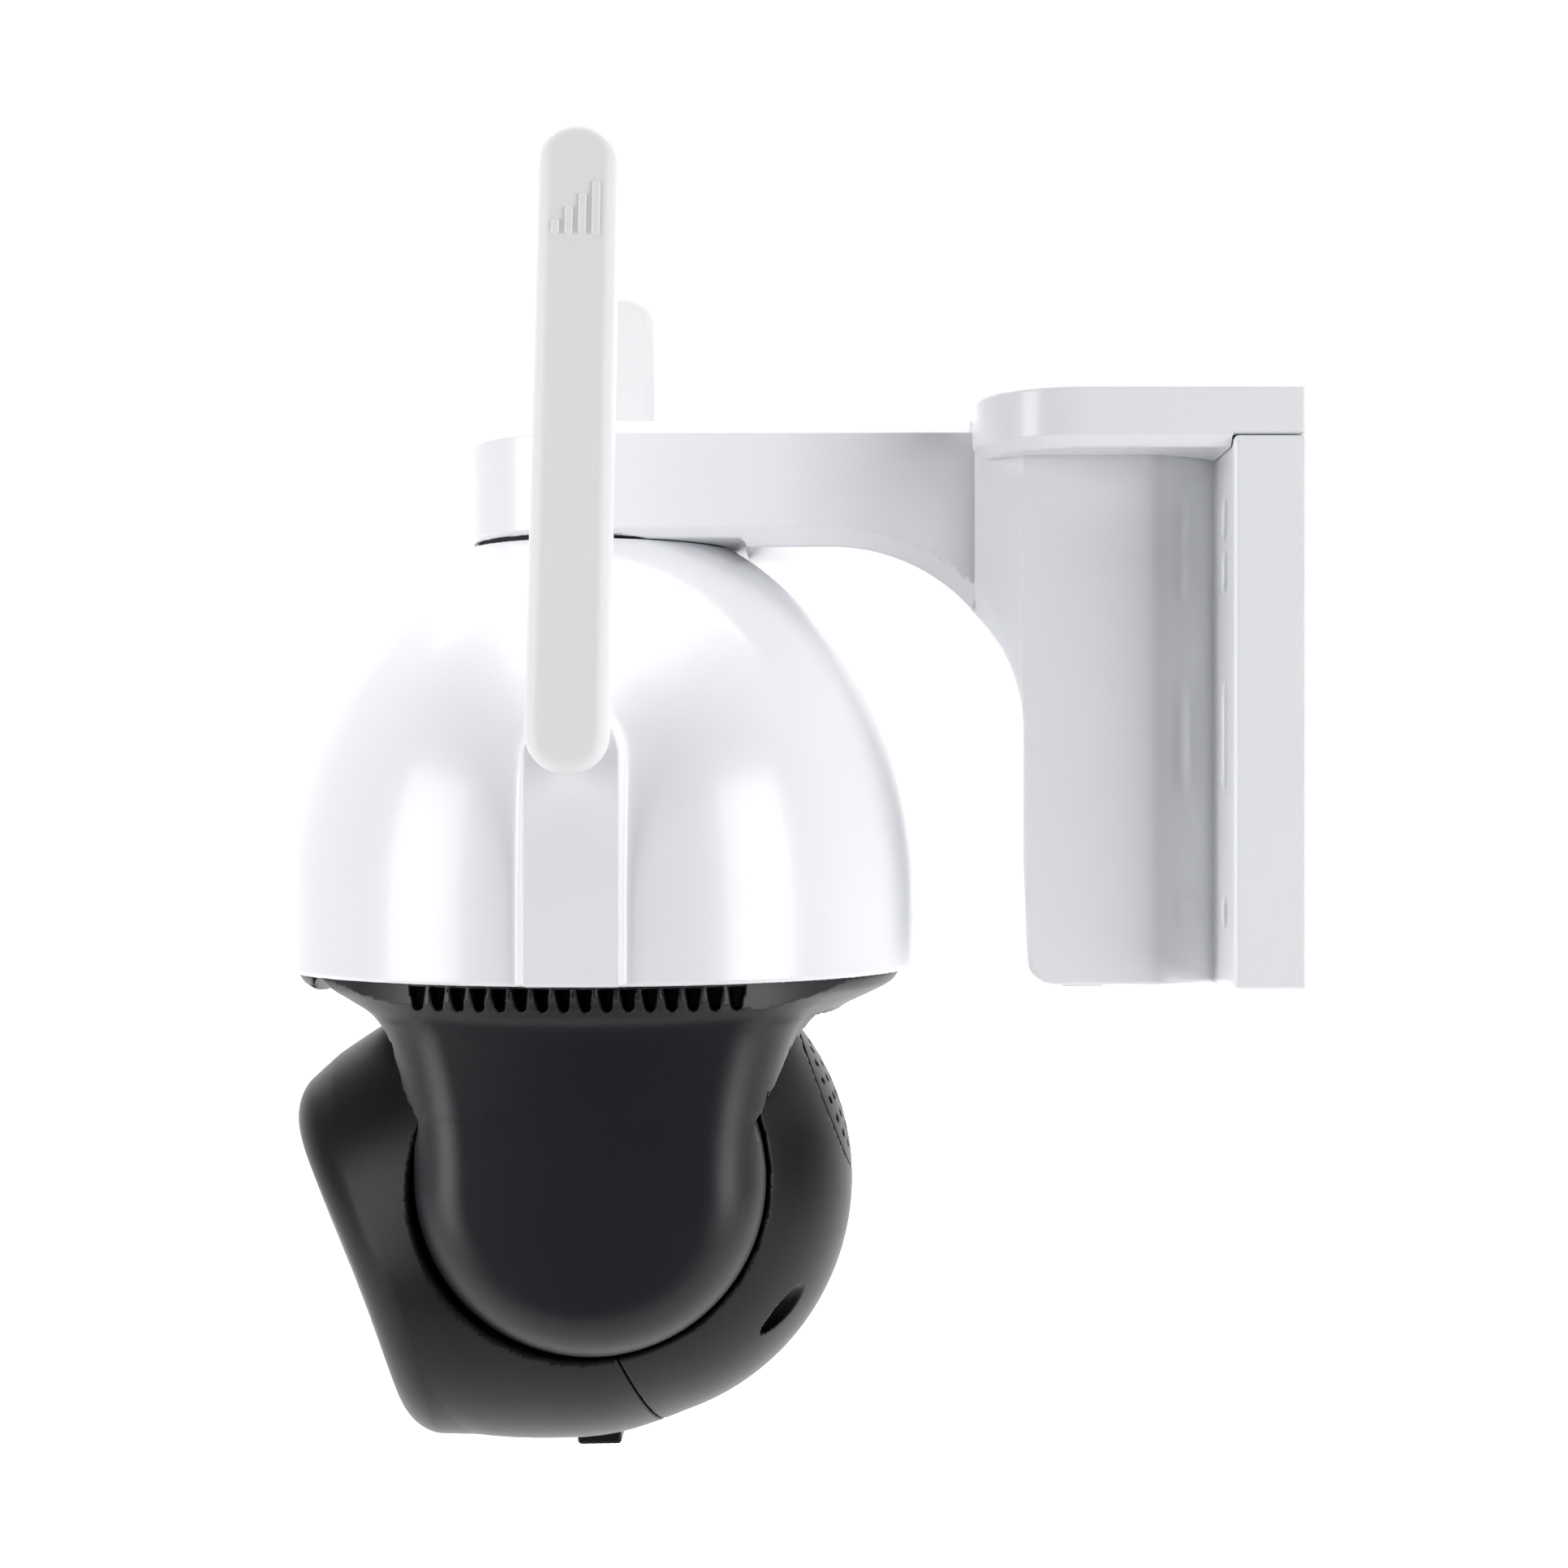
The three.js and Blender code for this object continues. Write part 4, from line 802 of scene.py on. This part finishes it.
def make_head():
    reach = BALL_R + 2
    low, high = BALL_V - SCREW_V, BALL_V + SCREW_V
    seam = -SEAM_U - BALL_U
    face = -FACE_U - BALL_U
    ys = steps(-reach, reach, 0.8, *both_sides(SCREW_Y - 4, SCREW_Y + 4, 0.4))
    zs = steps(BALL_V - reach, BALL_V + reach, 0.8, (low - 4, low + 4, 0.4), (high - 4, high + 4, 0.4))
    rear_xs = steps(seam - 0.6, reach, 0.8, (seam - 0.7, seam + 1, 0.35))
    make_head_piece("head_rear", rear_shell, rear_xs, ys, zs, "head", "head_rear_shell")
    front_xs = steps(face - 1.5, seam + 1, 0.8, (seam - 1, seam + 1, 0.35), (face - 1, face + 2, 0.5))
    make_head_piece("head_front", front_shell, front_xs, ys, zs, "head", "head_front_shell")
    card_xs = steps(-CARD_FRONT - 1, -CARD_FRONT + CARD_LENGTH + 1, 0.5)
    card_ys = steps(-CARD_HALF - 1, CARD_HALF + 1, 0.5)
    card_zs = steps(-56, -40, 0.5)
    make_head_piece("card_hatch", card_cover, card_xs, card_ys, card_zs, "card_cover", "card_cover")
    side = steps(-GRILLE_R - 1, GRILLE_R + 1, 0.45)
    grille_xs = steps(36, BALL_R + 1, 0.45)
    make_head_piece("rear_grille", grille, grille_xs, side, side + BALL_V, "head", "speaker_grille")


# ---- Window ----


def window_mask(x, y, z):
    """Dark front plate with a round opening for the lens, one for each lamp and one for the sensor."""
    rho = from_lens_axis(y, z)
    plate = round_max(rho - WINDOW_R, slab(face_depth(x, y), FACE_U - MASK_BACK, FACE_U - MASK_FRONT), 0.35)
    plate = cut(plate, rho - LENS_OPENING_R, 0.5)
    lamps = np.hypot(np.abs(y) - LAMP_OFFSET, np.abs(z - BALL_V) - LAMP_OFFSET) - LAMP_OPENING_R
    plate = cut(plate, lamps, 0.4)
    return cut(plate, from_lens_axis(y, z - SENSOR_V) - SENSOR_OPENING_R, 0.3)


def window_pane(x, y, z):
    """A clear pane just behind the mask."""
    layer = slab(face_depth(x, y), FACE_U - PANE_BACK, FACE_U - PANE_FRONT)
    return round_max(from_lens_axis(y, z) - WINDOW_R + 0.4, layer, 0.2)


def make_window():
    side = steps(-WINDOW_R - 1, WINDOW_R + 1, 0.6)
    mask = shell_mesh("window_mask", window_mask, steps(-FACE_U - 0.6, -FACE_U + 8, 0.3), side,
                      side + BALL_V, MASK, placed_in_head)
    settle(mask, "head", "window", "front_window")
    wide = steps(-WINDOW_R - 1, WINDOW_R + 1, 1.2)
    pane = shell_mesh("window_pane", window_pane, steps(-FACE_U + 1.5, -FACE_U + 9, 0.25), wide,
                      wide + BALL_V, CLEAR, placed_in_head)
    settle(pane, "head", "lens_glass")


# ---- Antennas, upright with the pivot at the origin ----


def antenna(x, y, z):
    """A tapered blade with round ends and rounded edges, bored from inside for its pin."""
    length = ANTENNA_LENGTH - ANTENNA_TIP_R
    radius = ANTENNA_BASE_R + (ANTENNA_TIP_R - ANTENNA_BASE_R) * np.clip(z / length, 0, 1)
    outline = np.hypot(x, z - np.clip(z, 0, length)) - radius
    blade = round_max(outline, np.abs(y - ANTENNA_MID_Y) - ANTENNA_HALF, ANTENNA_EDGE_R)
    return cut(blade, np.maximum(np.hypot(x, z) - PIN_BORE_R, y - ANTENNA_MID_Y), 0.2)


def antenna_mark(x, y, z):
    """Four raised bars of rising height, standing on a line near the tip."""
    face = ANTENNA_MID_Y + ANTENNA_HALF
    marks = np.full(x.shape, FAR)
    for i in range(MARK_BARS):
        at = MARK_START + MARK_PITCH * i
        top = MARK_FIRST_TOP + MARK_RISE * i
        bar = block((x, y, z), (at - MARK_HALF, face - MARK_SUNK, MARK_BASE),
                    (at + MARK_HALF, face + MARK_PROUD, top), 0.2)
        marks = np.minimum(marks, bar)
    return marks


def make_antennas():
    for place, side in (("near", -1), ("far", 1)):
        low, high = box_mm(f"antenna_{place}")
        tip_x = (low[0] + high[0]) / 2
        lean = math.asin(2 * (tip_x - ORIGIN[0]) / (ANTENNA_LENGTH - ANTENNA_BASE_R))

        def placed(points, side=side, lean=lean):
            return turned(points * (1, side, 1), lean) + (0, 0, PIVOT_Z) + ORIGIN

        blade = shell_mesh(f"blade_{place}", antenna, steps(-8, 8, 0.8), steps(60.5, 72, 0.8),
                           steps(-8, ANTENNA_LENGTH + 2, 1.1), WHITE_SATIN, placed, side < 0)
        mark = shell_mesh(f"blade_mark_{place}", antenna_mark, steps(-5, 5, 0.22),
                          steps(69.8, 71.8, 0.22), steps(ANTENNA_LENGTH - 20, ANTENNA_LENGTH - 9, 0.22),
                          WHITE_SATIN, placed, side < 0)
        settle(blade, f"antenna_{place}", "white_satin", f"antenna_{place}")
        settle(mark, f"antenna_{place}", "white_satin")


# ---- Camera, light and stage, in metres ----

CAMERA_OFFSET_MM = (40.3, -465.0, 29.5)
CAMERA_LENS = 55.5
CAMERA_SHIFT = 0.0176

FLOOR_DROP, FLOOR_FRONT, FLOOR_HALF = 0.3, -0.3, 3.5
BACKDROP_Y, BACKDROP_HEIGHT, BACKDROP_BEND_R, BEND_STEPS = 1.6, 4.0, 0.9, 16

WORLD_STRENGTH = 0.12
CENTRE = (CAD_BOX[0][0] / 2, 0, -0.03)
LAMPS = (
    ("left", (-1.15, -0.62, 0.0), CENTRE, (0.6, 1.1), 12),
    ("right", (1.0, -0.62, 0.05), CENTRE, (0.6, 1.1), 13),
    ("top", (-0.1, -0.1, 1.1), CENTRE, (1.2, 1.0), 7),
    ("backdrop", (-0.1, 0.5, 1.3), (-0.1, 1.5, 0.2), (2.2, 0.8), 44),
)


def make_camera():
    """A level view along +Y, placed from the dome."""
    data = bpy.data.cameras.new("view")
    data.sensor_width = 36
    data.lens = CAMERA_LENS
    data.shift_x = -CAMERA_SHIFT
    data.shift_y = CAMERA_SHIFT
    data.clip_start = 0.01
    view = bpy.data.objects.new("view", data)
    view.location = (ORIGIN + np.array(CAMERA_OFFSET_MM)) * MM
    view.rotation_euler = (math.pi / 2, 0, 0)
    bpy.context.scene.collection.objects.link(view)
    bpy.context.scene.camera = view


def make_stage():
    """A pale floor that curves up into a backdrop well behind the object."""
    floor_z = CAD_BOX[0][2] - FLOOR_DROP
    bend_y = BACKDROP_Y - BACKDROP_BEND_R
    outline = [(FLOOR_FRONT, floor_z), (bend_y, floor_z)]
    for i in range(1, BEND_STEPS + 1):
        angle = math.pi / 2 * i / BEND_STEPS
        rise = BACKDROP_BEND_R * (1 - math.cos(angle))
        outline.append((bend_y + BACKDROP_BEND_R * math.sin(angle), floor_z + rise))
    outline.append((BACKDROP_Y, floor_z + BACKDROP_HEIGHT))
    mesh = bmesh.new()
    left, right = [[mesh.verts.new((x, y, z)) for y, z in outline] for x in (-FLOOR_HALF, FLOOR_HALF)]
    for i in range(len(outline) - 1):
        mesh.faces.new((left[i], left[i + 1], right[i + 1], right[i]))
    data = bpy.data.meshes.new("studio_floor")
    mesh.to_mesh(data)
    mesh.free()
    data.shade_smooth()
    data.materials.append(PAPER)
    floor = bpy.data.objects.new("studio_floor", data)
    bpy.context.scene.collection.objects.link(floor)


def make_lamp(name, place, target, size, power):
    """A rectangular lamp that faces its target."""
    data = bpy.data.lights.new(name, "AREA")
    data.shape = "RECTANGLE"
    data.size, data.size_y = size
    data.energy = power
    lamp = bpy.data.objects.new(name, data)
    lamp.location = place
    lamp.rotation_euler = (Vector(target) - Vector(place)).to_track_quat("-Z", "Y").to_euler()
    bpy.context.scene.collection.objects.link(lamp)


def make_light():
    world = bpy.data.worlds.new("studio")
    world.use_nodes = True
    background = world.node_tree.nodes["Background"]
    background.inputs["Color"].default_value = (1, 1, 1, 1)
    background.inputs["Strength"].default_value = WORLD_STRENGTH
    bpy.context.scene.world = world
    for lamp in LAMPS:
        make_lamp(*lamp)
    bpy.context.scene.view_settings.view_transform = "Standard"


make_camera()
make_stage()
make_light()
finish_cad_nodes()
make_dome()
make_bracket()
make_hood()
make_yoke()
make_head()
make_window()
make_antennas()
